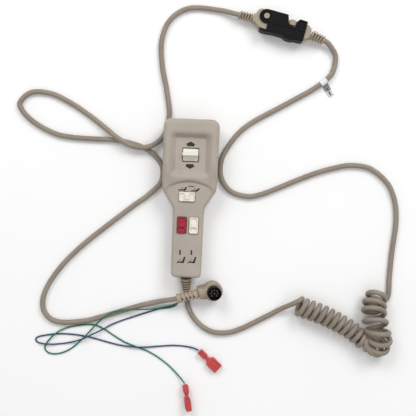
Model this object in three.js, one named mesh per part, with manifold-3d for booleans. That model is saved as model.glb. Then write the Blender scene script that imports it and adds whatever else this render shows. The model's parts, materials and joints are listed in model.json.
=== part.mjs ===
// Pendant control station: a hand control with four rocker switches, its curly cord,
// an inline connector with a swinging lock clip, and the lead that ends in a
// right-angle plug and two push-on terminals.
//
// Millimetres, +Z up. The hand control lies on its back along Y, with its head towards
// +Y. The origin is under the middle of its box, on the surface that it lies on.

import * as THREE from 'three';
import { LoftGeometry } from 'three/addons/geometries/LoftGeometry.js';
import { mergeVertices } from 'three/addons/utils/BufferGeometryUtils.js';
import Module from 'manifold-3d';

const wasm = await Module();
wasm.setup();

// ---------------------------------------------------------------- driving dimensions

const GAP = 0.3; // between pieces that touch

// hand control, seen from the front
const TOP_Y = 79;
const BOTTOM_Y = -79;
const HEAD_HALF = 28; // half width at the top corners
const SHOULDER_HALF = 27.2; // half width where the shoulders start
const SHOULDER_Y = 8;
const GRIP_TOP_HALF = 15.6;
const GRIP_TOP_Y = -10;
const GRIP_END_HALF = 15.1;
const HEAD_CORNER = 8;
const GRIP_CORNER = 4.5;

// hand control, seen from the side
const SPLIT_Z = 14; // where the two shells meet
const FACE_Z = 22; // lower face, and the floor of the head's recess
const HEAD_Z = 28; // rim of the head
const HEAD_FALL = { y: 34, slope: 0.21 }; // below this y the rim falls towards the grip
const WALL = 2.2;
const BACK_INSET_HEAD = 8.5; // how far the back is smaller than the split outline
const BACK_INSET_GRIP = 4.5;

// recess in the head
const RECESS = { y: 43.3, floorX: 14.7, floorY: 16.5, rimY: 40, rimHalfX: 21.9, rimHalfY: 24.2 };
const BROW_RISE = 6.5; // the head's lower edge is an arc this high
const BROW_Y = 8.5;

// inside the hand control
const BOARD_Z = 7.6;
const BOARD_THICK = 1.6;
const BOARD_INSET = { head: 7.4, grip: 5.2 };
const BOARD_END_Y = -56;
const CASE_SCREWS = [[18, 64], [-18, 64], [8.4, -60], [-8.4, -60]];
const SCREW_BOSS_R = 3;
const SCREW_SHANK_R = 1.15;
const SCREW_HEAD_R = 2.7;
const CLAMP_SCREWS = [-6.4, 6.4];
const CLAMP_SCREW_R = 0.65;
const CLAMP_Y = -70;
const CLAMP_SEAT_Z = 8.4;
const BOOT_Z = 9.5; // middle of the cord's way out of the case
const BOOT_HOLE_R = 4.2;
const INNER_LEAD_Z = 11;

// rocker switches: centre, cap size along and across, tilt axis, height of the cap's top,
// and the play between a cap's end and its window
const SWITCHES = [
  { name: 'main', x: 0, y: 42.6, along: 12.5, across: 16, axis: 'x', top: 22.8, play: 0.85 },
  { name: 'select', x: -1.9, y: 1.2, along: 15.8, across: 9.9, axis: 'y', top: 25, play: 0.55 },
  { name: 'red', x: -5.9, y: -26.9, along: 16.2, across: 9.7, axis: 'x', top: 25, play: 0.55 },
  { name: 'white', x: 5.8, y: -26.9, along: 16.2, across: 9.5, axis: 'x', top: 25, play: 0.55 },
];
const PIVOT_Z = 18.1;
const SIDE_PLAY = 0.35; // between a cap's flank and its window
const CAP_UNDER_Z = 20.2;
const CHEEK_TOP_Z = 19.5;
const CHEEK = 1.5;
const CHEEK_LENGTH = 5;
const HUB_R = 2.1;
const NECK = 2.4;
const AXLE_R = 0.9;
const AXLE_BORE = 1.25;
const PADDLE_TOP_Z = 26.8;
const ROOF_END_Z = 20.9; // top of the main cap at its two ends

// cords
const CORD_D = 5.2;
const WIRE_D = 1.5;
const CURL_D = 20; // outside of the curly cord's turns
const BOOT_GROOVE = 1; // depth of the grooves round a strain relief
const BOOT_GROOVE_HALF = 0.8; // half their width

// inline connector, in its own frame: u along it, v across it
const LINK = { x: 86.4, y: 175.9, z: 7.6, turn: -13 };
const LINK_LOW = 1.9;
const LINK_HIGH = 13.3;
const CLIP_PIN = { u: -17.7, v: 4.5 };
const CLIP_LOW = 0.2;
const CLIP_TOP = 15.2;
const CLIP_PLATE = 1.4;
const CLIP_EAR_R = 7.2;
const CLIP_PIN_R = 1.7;
const CLIP_PIN_HEAD_R = 2.8;

// right-angle plug
const PLUG = { x: 26.5, y: -90.9, z: 2.3, leanX: 0.15, leanY: 0.145 };
const PLUG_R = 9.5;
const PLUG_BODY_H = 11.5;
const PLUG_CHAMFER = 1.4;
const HOOD_R = 6.6; // where the boot meets the cup's hood
const HOOD_FLAT = 0.74; // the hood's height over its width
const PLUG_BOOT = { root: [12.6, -95.2, 11.3], end: [-8.4, -100.7, 11.8] };
const SHELL_R = 6.9;
const SHELL_WALL = 0.8;
const SHELL_H = 7.7;
const INSERT_H = 2.3;
const CONTACT_CIRCLE = 3.5;
const CONTACT_COUNT_ON_CIRCLE = 7;
const CONTACT_R = 0.55;
const CONTACT_H = 6.1;

// tag round the connector's lead
const TAG = { x: 130.4, y: 122.5, z: 3.7, turn: 40 };
const TAG_R = 3.4;
const TAG_WALL = 0.45;
const TAG_WIDTH = 7.2;
const TAG_FLAG_TURN = THREE.MathUtils.degToRad(-9);

// push-on terminals: steps of [start, end, half width] along the sleeve
const TERMINAL_STEPS = [[0, 8.6, 2.8], [8.4, 12.8, 1.9], [12.6, 26.2, 5.2]];
const TERMINAL_HALF_THICK = 2.7;
const BLADE_THICK = 0.8;

// ---------------------------------------------------------------- materials

function finish(color, roughness, metalness = 0) {
  return new THREE.MeshStandardMaterial({ color, roughness, metalness });
}

const taupe = finish(0xa59b8f, 0.6);
const beige = finish(0xbeac91, 0.65);
const cordGrey = finish(0x968a7d, 0.6);
const black = finish(0x1e1e21, 0.45);
const white = finish(0xe8e4d7, 0.35);
const crimson = finish(0xaf1937, 0.35);
const coral = finish(0xd74646, 0.4);
const greenPvc = finish(0x147d5f, 0.45);
const bluePvc = finish(0x2d4b78, 0.45);
const steel = finish(0xb4b6b8, 0.35, 1);
const brass = finish(0xc8a050, 0.35, 1);
const boardGreen = finish(0x1f5a38, 0.55);
const clear = finish(0xd2d6da, 0.2);

// ---------------------------------------------------------------- solids

const model = new THREE.Group();

function add(name, geometry, material, parent = model) {
  const mesh = new THREE.Mesh(geometry, material);
  mesh.name = name;
  parent.add(mesh);
  return mesh;
}

function solid(geometry) {
  let plain = new THREE.BufferGeometry();
  plain.setAttribute('position', geometry.attributes.position);
  plain.setIndex(geometry.index);
  plain = mergeVertices(plain, 1e-4);
  const vertProperties = new Float32Array(plain.attributes.position.array);
  const triVerts = new Uint32Array(plain.index.array);
  return new wasm.Manifold(new wasm.Mesh({ numProp: 3, vertProperties, triVerts }));
}

function surface(body) {
  const mesh = body.getMesh();
  const geometry = new THREE.BufferGeometry();
  geometry.setAttribute('position', new THREE.BufferAttribute(new Float32Array(mesh.vertProperties), 3));
  geometry.setIndex(new THREE.BufferAttribute(new Uint32Array(mesh.triVerts), 1));
  geometry.computeVertexNormals();
  return geometry;
}

function cut(geometry, ...tools) {
  return surface(tools.reduce((body, tool) => body.subtract(solid(tool)), solid(geometry)));
}

function join(geometry, ...others) {
  return surface(others.reduce((body, other) => body.add(solid(other)), solid(geometry)));
}

function box(x, y, z, at) {
  return new THREE.BoxGeometry(x, y, z).translate(at[0], at[1], at[2]);
}

// an upright cylinder from z0 to z1
function post(radius, x, y, z0, z1, sides = 12, radiusTop = radius) {
  const geometry = new THREE.CylinderGeometry(radiusTop, radius, z1 - z0, sides);
  return geometry.rotateX(Math.PI / 2).translate(x, y, (z0 + z1) / 2);
}

// a cylinder along X or Y
function bar(axis, radius, length, at, sides = 12) {
  const geometry = new THREE.CylinderGeometry(radius, radius, length, sides);
  if (axis === 'x') geometry.rotateZ(Math.PI / 2);
  return geometry.translate(at[0], at[1], at[2]);
}

// an outline of [x, y] points, raised from z0 to z1
function prism(points, z0, z1) {
  const shape = new THREE.Shape(points.map(([x, y]) => new THREE.Vector2(x, y)));
  const options = { depth: z1 - z0, bevelEnabled: false, curveSegments: 8 };
  return new THREE.ExtrudeGeometry(shape, options).translate(0, 0, z0);
}

// a solid through outlines that have equally many points, each at its own height
function loft(levels) {
  const sections = levels.map(([z, points]) => points.map(([x, y]) => new THREE.Vector3(x, y, z)));
  return new LoftGeometry(sections, { closed: true, capStart: true, capEnd: true });
}

function arc(cx, cy, radius, from, to, steps) {
  const points = [];
  for (let i = 0; i <= steps; i += 1) {
    const angle = THREE.MathUtils.degToRad(from + ((to - from) * i) / steps);
    points.push([cx + radius * Math.cos(angle), cy + radius * Math.sin(angle)]);
  }
  return points;
}

function roundedRect(cx, cy, halfX, halfY, radius, steps = 3) {
  return [
    ...arc(cx + halfX - radius, cy - halfY + radius, radius, -90, 0, steps),
    ...arc(cx + halfX - radius, cy + halfY - radius, radius, 0, 90, steps),
    ...arc(cx - halfX + radius, cy + halfY - radius, radius, 90, 180, steps),
    ...arc(cx - halfX + radius, cy - halfY + radius, radius, 180, 270, steps),
  ];
}

// a corner rounded as a quadratic curve through its two shortened sides
function softCorner(before, corner, after, reach, steps = 3) {
  const a = new THREE.Vector2(...corner).lerp(new THREE.Vector2(...before), reach);
  const b = new THREE.Vector2(...corner).lerp(new THREE.Vector2(...after), reach);
  const curve = new THREE.QuadraticBezierCurve(a, new THREE.Vector2(...corner), b);
  return curve.getPoints(steps).map((p) => [p.x, p.y]);
}

// ---------------------------------------------------------------- hand control shells

// the outline seen from the front, pulled in by one amount at the head and another at the grip
function handsetOutline(insetHead, insetGrip, cornerTop, cornerEnd) {
  const endHalf = GRIP_END_HALF - insetGrip;
  const gripHalf = GRIP_TOP_HALF - insetGrip;
  const shoulderHalf = SHOULDER_HALF - insetHead;
  const headHalf = HEAD_HALF - insetHead;
  const endY = BOTTOM_Y + insetGrip;
  const topY = TOP_Y - insetHead;
  const gripCorner = [gripHalf, GRIP_TOP_Y + insetGrip * 0.5];
  const shoulderCorner = [shoulderHalf, SHOULDER_Y + insetHead * 0.5];
  const half = [
    ...arc(endHalf - cornerEnd, endY + cornerEnd, cornerEnd, -90, 0, 3),
    ...softCorner([endHalf, -40], gripCorner, shoulderCorner, 0.14),
    ...softCorner(gripCorner, shoulderCorner, [headHalf, 50], 0.14),
    ...arc(headHalf - cornerTop, topY - cornerTop, cornerTop, 0, 90, 4),
  ];
  const mirrored = half.map(([x, y]) => [-x, y]).reverse();
  return [...half, ...mirrored];
}

function level(z, insetHead, insetGrip, cornerTop, cornerEnd) {
  return [z, handsetOutline(insetHead, insetGrip, cornerTop, cornerEnd)];
}

// the raised head, whose lower edge is a shallow arc
function headOutline(inset) {
  const half = HEAD_HALF - inset;
  const lower = [];
  for (let i = -4; i <= 4; i += 1) {
    const t = i / 4;
    lower.push([t * half, BROW_Y + inset + BROW_RISE * (1 - t * t)]);
  }
  const corner = HEAD_CORNER - inset * 0.4;
  return [
    ...lower,
    ...arc(half - corner, TOP_Y - inset - corner, corner, 0, 90, 4),
    ...arc(-half + corner, TOP_Y - inset - corner, corner, 90, 180, 4),
  ];
}

// what is above the head's falling rim
function headFall() {
  const block = box(80, 60, 20, [0, -30, 10]).rotateX(Math.atan(HEAD_FALL.slope));
  return block.translate(0, HEAD_FALL.y, HEAD_Z);
}

function frontShell() {
  const plate = loft([
    level(SPLIT_Z + GAP, 0, 0, HEAD_CORNER, GRIP_CORNER),
    level(19.5, 0.5, 0.5, HEAD_CORNER, GRIP_CORNER),
    level(21.3, 1.5, 1.5, HEAD_CORNER - 0.5, GRIP_CORNER - 0.5),
    level(FACE_Z, 3, 3, HEAD_CORNER - 1, GRIP_CORNER - 1),
  ]);
  const head = loft([
    [19, headOutline(0.6)],
    [25.4, headOutline(1.2)],
    [27.3, headOutline(2.2)],
    [HEAD_Z, headOutline(4)],
  ]);
  const hollow = loft([
    level(SPLIT_Z - 1, WALL, WALL, HEAD_CORNER - 2, GRIP_CORNER - 2),
    level(FACE_Z - WALL, WALL + 0.8, WALL + 0.8, HEAD_CORNER - 2, GRIP_CORNER - 2),
  ]);
  const recess = loft([
    [FACE_Z, roundedRect(0, RECESS.y, RECESS.floorX, RECESS.floorY, 3)],
    [HEAD_Z + 0.5, roundedRect(0, RECESS.rimY, RECESS.rimHalfX, RECESS.rimHalfY, 6)],
  ]);
  const windows = SWITCHES.map((s) => {
    const length = s.along + 2 * s.play;
    const width = s.across + 2 * SIDE_PLAY;
    const [x, y] = s.axis === 'x' ? [width, length] : [length, width];
    return box(x, y, 8, [s.x, s.y, FACE_Z]);
  });
  const bosses = CASE_SCREWS.map(([x, y]) => post(SCREW_BOSS_R, x, y, SPLIT_Z + GAP, FACE_Z - 1));
  const bores = CASE_SCREWS.map(([x, y]) => post(SCREW_SHANK_R + 0.2, x, y, SPLIT_Z, FACE_Z - WALL));
  const body = cut(join(plate, cut(head, headFall())), hollow);
  return cut(join(body, ...bosses), recess, ...windows, ...bores);
}

function rearShell() {
  const outer = loft([
    level(0, BACK_INSET_HEAD, BACK_INSET_GRIP, 12, 4),
    level(1.2, BACK_INSET_HEAD - 1.4, BACK_INSET_GRIP - 1, 11.5, 4.2),
    level(SPLIT_Z, 0, 0, HEAD_CORNER, GRIP_CORNER),
  ]);
  const hollow = loft([
    level(WALL, BACK_INSET_HEAD + 0.8, BACK_INSET_GRIP + 1.2, 10, 2.5),
    level(SPLIT_Z + 1, WALL, WALL, HEAD_CORNER - 2, GRIP_CORNER - 2),
  ]);
  const bosses = CASE_SCREWS.map(([x, y]) => post(SCREW_BOSS_R, x, y, 1, BOARD_Z - GAP));
  const bores = CASE_SCREWS.map(([x, y]) => post(SCREW_SHANK_R + 0.65, x, y, -1, BOARD_Z + 1));
  const heads = CASE_SCREWS.map(([x, y]) => post(SCREW_HEAD_R + 0.4, x, y, -1, WALL + 0.2));
  const bootHole = bar('y', BOOT_HOLE_R, 14, [0, BOTTOM_Y + 4, BOOT_Z]);
  const clampPosts = CLAMP_SCREWS.map((x) => post(2, x, CLAMP_Y, 1, CLAMP_SEAT_Z));
  const clampBores = CLAMP_SCREWS.map((x) => post(CLAMP_SCREW_R + GAP, x, CLAMP_Y, 3, CLAMP_SEAT_Z + 1, 8));
  const body = join(cut(outer, hollow), ...bosses, ...clampPosts);
  return cut(body, ...bores, ...heads, ...clampBores, bootHole);
}

// a screw whose head sits in the back and whose shank reaches the front shell's boss
function caseScrew(x, y) {
  const head = post(SCREW_HEAD_R, x, y, 0.5, 2);
  return join(head, post(SCREW_SHANK_R, x, y, 1.8, FACE_Z - WALL - GAP, 8));
}

function circuitBoard() {
  const outline = handsetOutline(BOARD_INSET.head, BOARD_INSET.grip, 6, 2);
  const cutShort = outline.map(([x, y]) => [x, Math.max(y, BOARD_END_Y)]);
  const board = prism(cutShort, BOARD_Z, BOARD_Z + BOARD_THICK);
  const clearances = CASE_SCREWS.map(([x, y]) => post(
    SCREW_SHANK_R + 0.55, x, y, BOARD_Z - 1, BOARD_Z + BOARD_THICK + 1,
  ));
  return cut(board, ...clearances);
}

add('front_shell', frontShell(), taupe);
add('rear_shell', rearShell(), taupe);
CASE_SCREWS.forEach(([x, y], i) => add(`case_screw_${i + 1}`, caseScrew(x, y), steel));
add('circuit_board', circuitBoard(), boardGreen);

// ---------------------------------------------------------------- rocker switches

// size along x and y of a piece given along and across the switch
function laid(s, along, across) {
  return s.axis === 'x' ? [across, along] : [along, across];
}

// the switch on the board, with two cheeks that hold the axle
function switchBase(s) {
  const inner = hubLength(s) / 2 + GAP;
  const [bx, by] = laid(s, s.along - 1, s.across - 0.6);
  const floorTop = PIVOT_Z - HUB_R - 2 * GAP;
  const underside = BOARD_Z + BOARD_THICK + GAP;
  const base = box(bx, by, floorTop - underside, [s.x, s.y, (floorTop + underside) / 2]);
  const cheeks = [-1, 1].map((side) => {
    const [cx, cy] = laid(s, CHEEK_LENGTH, CHEEK);
    const [ox, oy] = laid(s, 0, side * (inner + CHEEK / 2));
    const foot = floorTop - 0.5;
    return box(cx, cy, CHEEK_TOP_Z - foot, [s.x + ox, s.y + oy, (CHEEK_TOP_Z + foot) / 2]);
  });
  const bore = bar(s.axis, AXLE_BORE, s.across + 2, [s.x, s.y, PIVOT_Z]);
  return cut(join(base, ...cheeks), bore);
}

function hubLength(s) {
  return s.across - 0.6 - 2 * CHEEK - 2 * GAP;
}

// the crown of a small cap
function smallCrown(s) {
  const [cx, cy] = laid(s, s.along / 2, s.across / 2);
  return loft([
    [CAP_UNDER_Z, roundedRect(s.x, s.y, cx, cy, 1)],
    [s.top - 0.8, roundedRect(s.x, s.y, cx, cy, 1)],
    [s.top, roundedRect(s.x, s.y, cx - 0.8, cy - 0.8, 0.6)],
  ]);
}

// the crown of the main cap, a roof that falls away on both sides of its paddle
function mainCrown(s) {
  const half = s.along / 2;
  const profile = [
    [-half, CAP_UNDER_Z], [half, CAP_UNDER_Z], [half, ROOF_END_Z],
    [0.8, s.top], [-0.8, s.top], [-half, ROOF_END_Z],
  ];
  const roof = prism(profile, -s.across / 2, s.across / 2);
  const across = new THREE.Vector3(1, 0, 0);
  const along = new THREE.Vector3(0, 1, 0);
  const up = new THREE.Vector3(0, 0, 1);
  roof.applyMatrix4(new THREE.Matrix4().makeBasis(along, up, across));
  return join(roof.translate(s.x, s.y, 0), paddle(s));
}

// the cap with its hub; the bore turns on the axle
function rocker(s) {
  const crown = s.name === 'main' ? mainCrown(s) : smallCrown(s);
  const hub = bar(s.axis, HUB_R, hubLength(s), [s.x, s.y, PIVOT_Z]);
  const [nx, ny] = laid(s, NECK, hubLength(s));
  const neck = box(nx, ny, 3, [s.x, s.y, CAP_UNDER_Z]);
  const bore = bar(s.axis, AXLE_BORE, s.across + 4, [s.x, s.y, PIVOT_Z]);
  return cut(join(crown, hub, neck), bore);
}

// the upright blade across the main rocker
function paddle(s) {
  return loft([
    [s.top - 1.6, roundedRect(s.x, s.y, 7.8, 2, 0.8)],
    [PADDLE_TOP_Z - 0.8, roundedRect(s.x, s.y, 7.8, 1.6, 0.8)],
    [PADDLE_TOP_Z, roundedRect(s.x, s.y, 7.3, 1, 0.5)],
  ]);
}

for (const s of SWITCHES) {
  const colour = s.name === 'red' ? crimson : white;
  add(`${s.name}_switch_base`, switchBase(s), black);
  add(`${s.name}_rocker`, rocker(s), colour);
  add(`${s.name}_axle`, bar(s.axis, AXLE_R, s.across - 0.8, [s.x, s.y, PIVOT_Z], 10), steel);
}

// ---------------------------------------------------------------- cords

// a round tube through [x, y, z] points
function tube(points, diameter, sides, steps) {
  const route = points.map((p) => new THREE.Vector3(...p));
  const curve = new THREE.CatmullRomCurve3(route, false, 'centripetal');
  const round = arc(0, 0, diameter / 2, 0, 360 - 360 / sides, sides - 1);
  const section = new THREE.Shape(round.map(([x, y]) => new THREE.Vector2(x, y)));
  return new THREE.ExtrudeGeometry(section, { steps, extrudePath: curve, bevelEnabled: false });
}

// hand control to the start of the curls
const HANDSET_LEAD = [
  [0.9, -94.2, 3.4], [1.2, -98.6, 2.8], [1.9, -103.4, 2.65], [3.7, -110.5, 2.65], [7, -117, 2.65],
  [11.5, -122.8, 2.65], [16.8, -127.6, 2.65], [22.8, -131.3, 2.65], [29.8, -133.8, 2.65],
  [37.8, -134.4, 2.65], [46.8, -133.2, 2.65], [56.8, -129.6, 2.65], [66.6, -124.6, 2.65],
  [76.4, -119.2, 2.65], [86.2, -113.8, 2.65], [96, -107.8, 3], [105.6, -101.9, 5.2],
  [109.2, -99.8, 6.2],
];

// middle line of the curls
const CURL_AXIS = [
  [115.5, -104, 10.2], [137.5, -114.8, 10.2], [160, -126.2, 10.2], [176, -134.6, 10.2],
  [187.6, -138.6, 10.2], [195.2, -133, 10.2], [194.6, -121, 10.2], [191.2, -106, 10.2],
  [189.2, -90.5, 10.2],
];

// the curls' end to the inline connector
const CONNECTOR_LEAD = [
  [203.4, -98, 2.65], [204.4, -92, 2.65], [204.8, -73, 2.65], [206.2, -48, 2.65],
  [207.6, -34.5, 2.65], [209, -21.5, 2.65], [209.2, -9.5, 2.65], [207.8, 2.5, 2.65],
  [204.2, 14, 2.65], [198.4, 23.8, 2.65], [181, 37.2, 2.65], [160.5, 39.6, 2.65],
  [145.5, 36.6, 2.65], [130.6, 32, 2.65], [116, 26.2, 2.65], [101, 19.5, 2.65], [86, 12.6, 2.65],
  [71.4, 6.6, 2.65], [59.4, 4.2, 2.65], [40.6, 9.2, 2.65], [31.2, 22.8, 2.65], [31, 40, 2.65],
  [39.4, 57.2, 2.65], [48.4, 69, 2.65], [58.4, 77.6, 2.65], [73, 86.8, 2.65], [88, 95.4, 2.65],
  [102.8, 104.2, 2.65], [117.6, 113, 2.9], [127.4, 120, 3.7], [133.4, 125, 3.7], [139.3, 132.4, 2.9],
  [141.4, 149.6, 3], [133.2, 161, 6.4], [131.2, 162.4, 6.9],
];

// inline connector to the right-angle plug, over itself once on the way
const CHAIR_LEAD = [
  [41.2, 186.3, 7.2], [35, 187.9, 5.8], [25.5, 190.3, 3.4], [-8.8, 191.2, 2.65],
  [-26.2, 179.2, 2.65], [-33.9, 158.6, 2.65], [-32.6, 133, 2.65], [-26.7, 106, 2.65],
  [-23.4, 81.5, 2.65], [-28.6, 61.6, 2.8], [-41.6, 50.4, 7.2], [-58.6, 49.9, 8.1],
  [-72.8, 56.8, 8.1], [-89.6, 69.3, 4.2], [-102.6, 78.7, 2.7], [-124, 91.8, 2.65],
  [-144.6, 100.3, 2.65], [-164.2, 100, 2.65], [-174.4, 89.6, 2.65], [-172.6, 83, 2.65],
  [-159.6, 70.6, 2.65], [-137, 59.6, 2.65], [-122.6, 57, 2.65], [-107.6, 56.2, 2.65],
  [-92.6, 56, 2.65], [-80, 55.8, 2.65], [-60.4, 53.2, 2.65], [-41.6, 45.8, 2.65],
  [-29.2, 32.4, 2.65], [-28.8, 16.2, 2.65], [-39.8, 3, 2.65], [-54.6, -8.6, 2.65],
  [-69.2, -20.5, 2.65], [-83.8, -32.6, 2.65], [-98.4, -45, 2.65], [-111.8, -57.6, 2.65],
  [-123.6, -70.4, 2.65], [-133.2, -83.6, 2.65], [-140.2, -96.4, 2.65], [-143.4, -108.4, 2.65],
  [-142, -119, 2.65], [-135.6, -126.6, 2.65], [-125.4, -129.8, 2.65], [-99, -127.4, 2.65],
  [-84.6, -123.2, 2.65], [-55, -113.2, 2.65], [-40.6, -108.6, 2.8], [-27.6, -105.2, 4.6],
  [-17, -102.8, 8.8], [-9.8, -101, 11.7],
];

const GREEN_WIRE = [
  [-9.4, -106.9, 3.4], [-15, -108.9, 2.8], [-25, -111.4, 2.9], [-34, -113, 3.9],
  [-42.6, -113.6, 5.8], [-52, -114, 7], [-62.6, -114.6, 7], [-72.6, -117.4, 7], [-79.6, -122, 6.6],
  [-85.2, -127.2, 4.2], [-89.8, -132.2, 3], [-94.6, -137.6, 2.2], [-99, -142.8, 2.8],
  [-104.4, -148.4, 1.8], [-110, -153.8, 0.9], [-118.4, -159.4, 0.9], [-128.8, -162.4, 0.9],
  [-136.8, -161, 0.9], [-139.8, -156.6, 0.9], [-138, -151.6, 0.9], [-134, -146.4, 1.8],
  [-129, -141.4, 2.9], [-122.8, -137.4, 1.6], [-115, -134.6, 0.9], [-107, -132.9, 0.9],
  [-98.6, -131.6, 0.9], [-90, -131.6, 0.9], [-81, -135.2, 0.9], [-71.4, -141, 0.9],
  [-60, -147.4, 0.9], [-46.6, -152.3, 0.9], [-34.4, -156.6, 0.9], [-23, -163, 0.9],
  [-12.4, -171, 0.9], [-2.4, -180.6, 2.2], [2.8, -186.2, 4.9],
];

const BLUE_WIRE = [
  [-9.6, -108.6, 1.3], [-15, -110.9, 0.9], [-25, -112.6, 0.9], [-35.2, -115.8, 0.9],
  [-50, -121.2, 0.9], [-65, -126.8, 0.9], [-75, -131.4, 1.8], [-80.6, -134.8, 2.9],
  [-86.6, -138, 3.8], [-93.4, -141.4, 4.7], [-99.8, -144.8, 5], [-107.4, -148, 3.2],
  [-116.6, -150.6, 1.2], [-127.6, -152.4, 0.9], [-138.4, -152.6, 2.9], [-146.4, -151.2, 1.2],
  [-149.6, -148.6, 0.9], [-146.4, -145.8, 0.9], [-139, -143.8, 0.9], [-129, -142.2, 0.9],
  [-117, -141.8, 0.9], [-105, -142.6, 0.9], [-94.4, -144.2, 0.9], [-82.4, -147, 0.9],
  [-70, -149.9, 0.9], [-58, -151.6, 1.6], [-46.6, -152.1, 2.9], [-35.4, -151.6, 1.6],
  [-23.4, -150.4, 0.9], [-11.4, -149.2, 0.9], [0.4, -149.4, 0.9], [9.4, -150.6, 1.8],
  [15.8, -152.8, 2.9],
];

add('handset_lead', tube(HANDSET_LEAD, CORD_D, 8, 14), cordGrey);
add('curly_cord', tube(CURL_AXIS, CURL_D, 12, 22), cordGrey);
add('connector_lead', tube(CONNECTOR_LEAD, CORD_D, 8, 42), cordGrey);
add('chair_lead', tube(CHAIR_LEAD, CORD_D, 8, 68), cordGrey);
add('green_wire', tube(GREEN_WIRE, WIRE_D, 6, 56), greenPvc);
add('blue_wire', tube(BLUE_WIRE, WIRE_D, 6, 56), bluePvc);

// a strain relief through [x, y, z] points, with grooves round it
function boot(start, end, radiusStart, radiusEnd, ribs) {
  const from = new THREE.Vector3(...start);
  const to = new THREE.Vector3(...end);
  const length = from.distanceTo(to);
  const profile = [[0, 0], [radiusStart, 0]];
  for (let i = 0; i < ribs; i += 1) {
    const middle = (i + 0.6) / ribs;
    const radius = radiusStart + (radiusEnd - radiusStart) * middle;
    profile.push([radius, length * middle - BOOT_GROOVE_HALF]);
    profile.push([radius - BOOT_GROOVE, length * middle]);
    profile.push([radius, length * middle + BOOT_GROOVE_HALF]);
  }
  profile.push([radiusEnd, length], [0, length]);
  const lathe = new THREE.LatheGeometry(profile.map(([r, h]) => new THREE.Vector2(r, h)), 10);
  const turn = new THREE.Quaternion().setFromUnitVectors(
    new THREE.Vector3(0, 1, 0),
    to.clone().sub(from).normalize(),
  );
  return lathe.applyQuaternion(turn).translate(...start);
}

add('handset_boot', boot([0, BOTTOM_Y - GAP, BOOT_Z], [0.8, -93.6, 4], 5.8, 3.5, 4), beige);

// the cord's end inside the hand control, and the bar that holds it
add('inner_lead', bar('y', CORD_D / 2, 18, [0, -69, INNER_LEAD_Z], 10), cordGrey);

const CLAMP_Z = INNER_LEAD_Z + CORD_D / 2 + GAP;
const CLAMP_THICK = 1.4;

function cableClamp() {
  const plate = box(17, 5, CLAMP_THICK, [0, CLAMP_Y, CLAMP_Z + CLAMP_THICK / 2]);
  const feet = CLAMP_SCREWS.map((x) => post(2, x, CLAMP_Y, CLAMP_SEAT_Z + GAP, CLAMP_Z + 0.7));
  const boreR = CLAMP_SCREW_R + 0.5;
  const bores = CLAMP_SCREWS.map((x) => post(boreR, x, CLAMP_Y, CLAMP_SEAT_Z, CLAMP_Z + 3, 8));
  return cut(join(plate, ...feet), ...bores);
}

function clampScrew(x) {
  const headZ = CLAMP_Z + CLAMP_THICK + GAP;
  const shank = post(CLAMP_SCREW_R, x, CLAMP_Y, 4, headZ + 0.5, 8);
  return join(shank, post(1.8, x, CLAMP_Y, headZ, headZ + 0.9, 10));
}

add('cable_clamp', cableClamp(), black);
CLAMP_SCREWS.forEach((x, i) => add(`clamp_screw_${i + 1}`, clampScrew(x), steel));

// ---------------------------------------------------------------- inline connector

const link = new THREE.Group();
link.position.set(LINK.x, LINK.y, 0);
link.rotation.z = THREE.MathUtils.degToRad(LINK.turn);
model.add(link);

// the far end of the link's socket is round about the clip's pin, so that the clip can pass
function socketOutline() {
  return [
    [-30.4, 4.2], [-30.4, -4.2],
    ...arc(CLIP_PIN.u, CLIP_PIN.v, 13.1, 218, 262, 5),
    [5, -8.7], [5, 8], [-12, 8.6], [-18, 11], [-23.4, 11.2], [-26.6, 9.8], [-28.2, 7], [-28.6, 4.6],
  ];
}

function plugOutline() {
  return [
    [5.3, -8.2], [24, -8.2], [25.6, -7.4], [29.2, -5], [29.2, 4], [25.6, 6.9], [24, 7.4], [5.3, 7.4],
  ];
}

function socketBody() {
  const body = prism(socketOutline(), LINK_LOW, LINK_HIGH);
  const pinHole = post(CLIP_PIN_R + GAP, CLIP_PIN.u, CLIP_PIN.v, 0, LINK_HIGH + 1);
  return cut(body, pinHole);
}

// the lug on top stands in the clip's notch
function plugBody() {
  const lug = prism(roundedRect(9, 5.6, 2.9, 2.7, 1.2), LINK_HIGH - 1, CLIP_TOP - GAP);
  return join(prism(plugOutline(), LINK_LOW, LINK_HIGH), lug);
}

function clipPlate() {
  return [
    [-15, -10], [23.4, -10], [23.4, 9.8], [15.5, 10.2], [12.8, 7], [12.8, 3.2], [11.5, 1.2], [5.3, 2.8],
    [3, 11.6],
    ...arc(CLIP_PIN.u, CLIP_PIN.v, CLIP_EAR_R, 90, 290, 10),
  ];
}

// the clip's side, thicker where it is pushed
function clipWall() {
  return [
    [-22, -9.3], [-22, -10], [-19.5, -10.9], [-15, -11], [-9.9, -10.5], [-1, -10.2], [3, -10.5],
    [5, -12], [8.4, -12.4], [11.5, -12.4], [14.3, -11.3], [21.4, -11], [23.4, -10], [23.4, -9.3],
  ];
}

function lockClip() {
  const upper = prism(clipPlate(), CLIP_TOP - CLIP_PLATE, CLIP_TOP);
  const lower = prism(clipPlate(), CLIP_LOW, CLIP_LOW + CLIP_PLATE);
  const wall = prism(clipWall(), CLIP_LOW, CLIP_TOP);
  const pinHole = post(CLIP_PIN_R + 0.45, CLIP_PIN.u, CLIP_PIN.v, -1, CLIP_TOP + 1);
  return cut(join(upper, lower, wall), pinHole);
}

// a headed pin through the clip and the socket
function clipPin() {
  const { u, v } = CLIP_PIN;
  const shank = post(CLIP_PIN_R, u, v, CLIP_LOW + 0.1, CLIP_TOP + 0.6);
  return join(shank, post(CLIP_PIN_HEAD_R, u, v, CLIP_TOP + GAP, CLIP_TOP + 1.2, 16));
}

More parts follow.
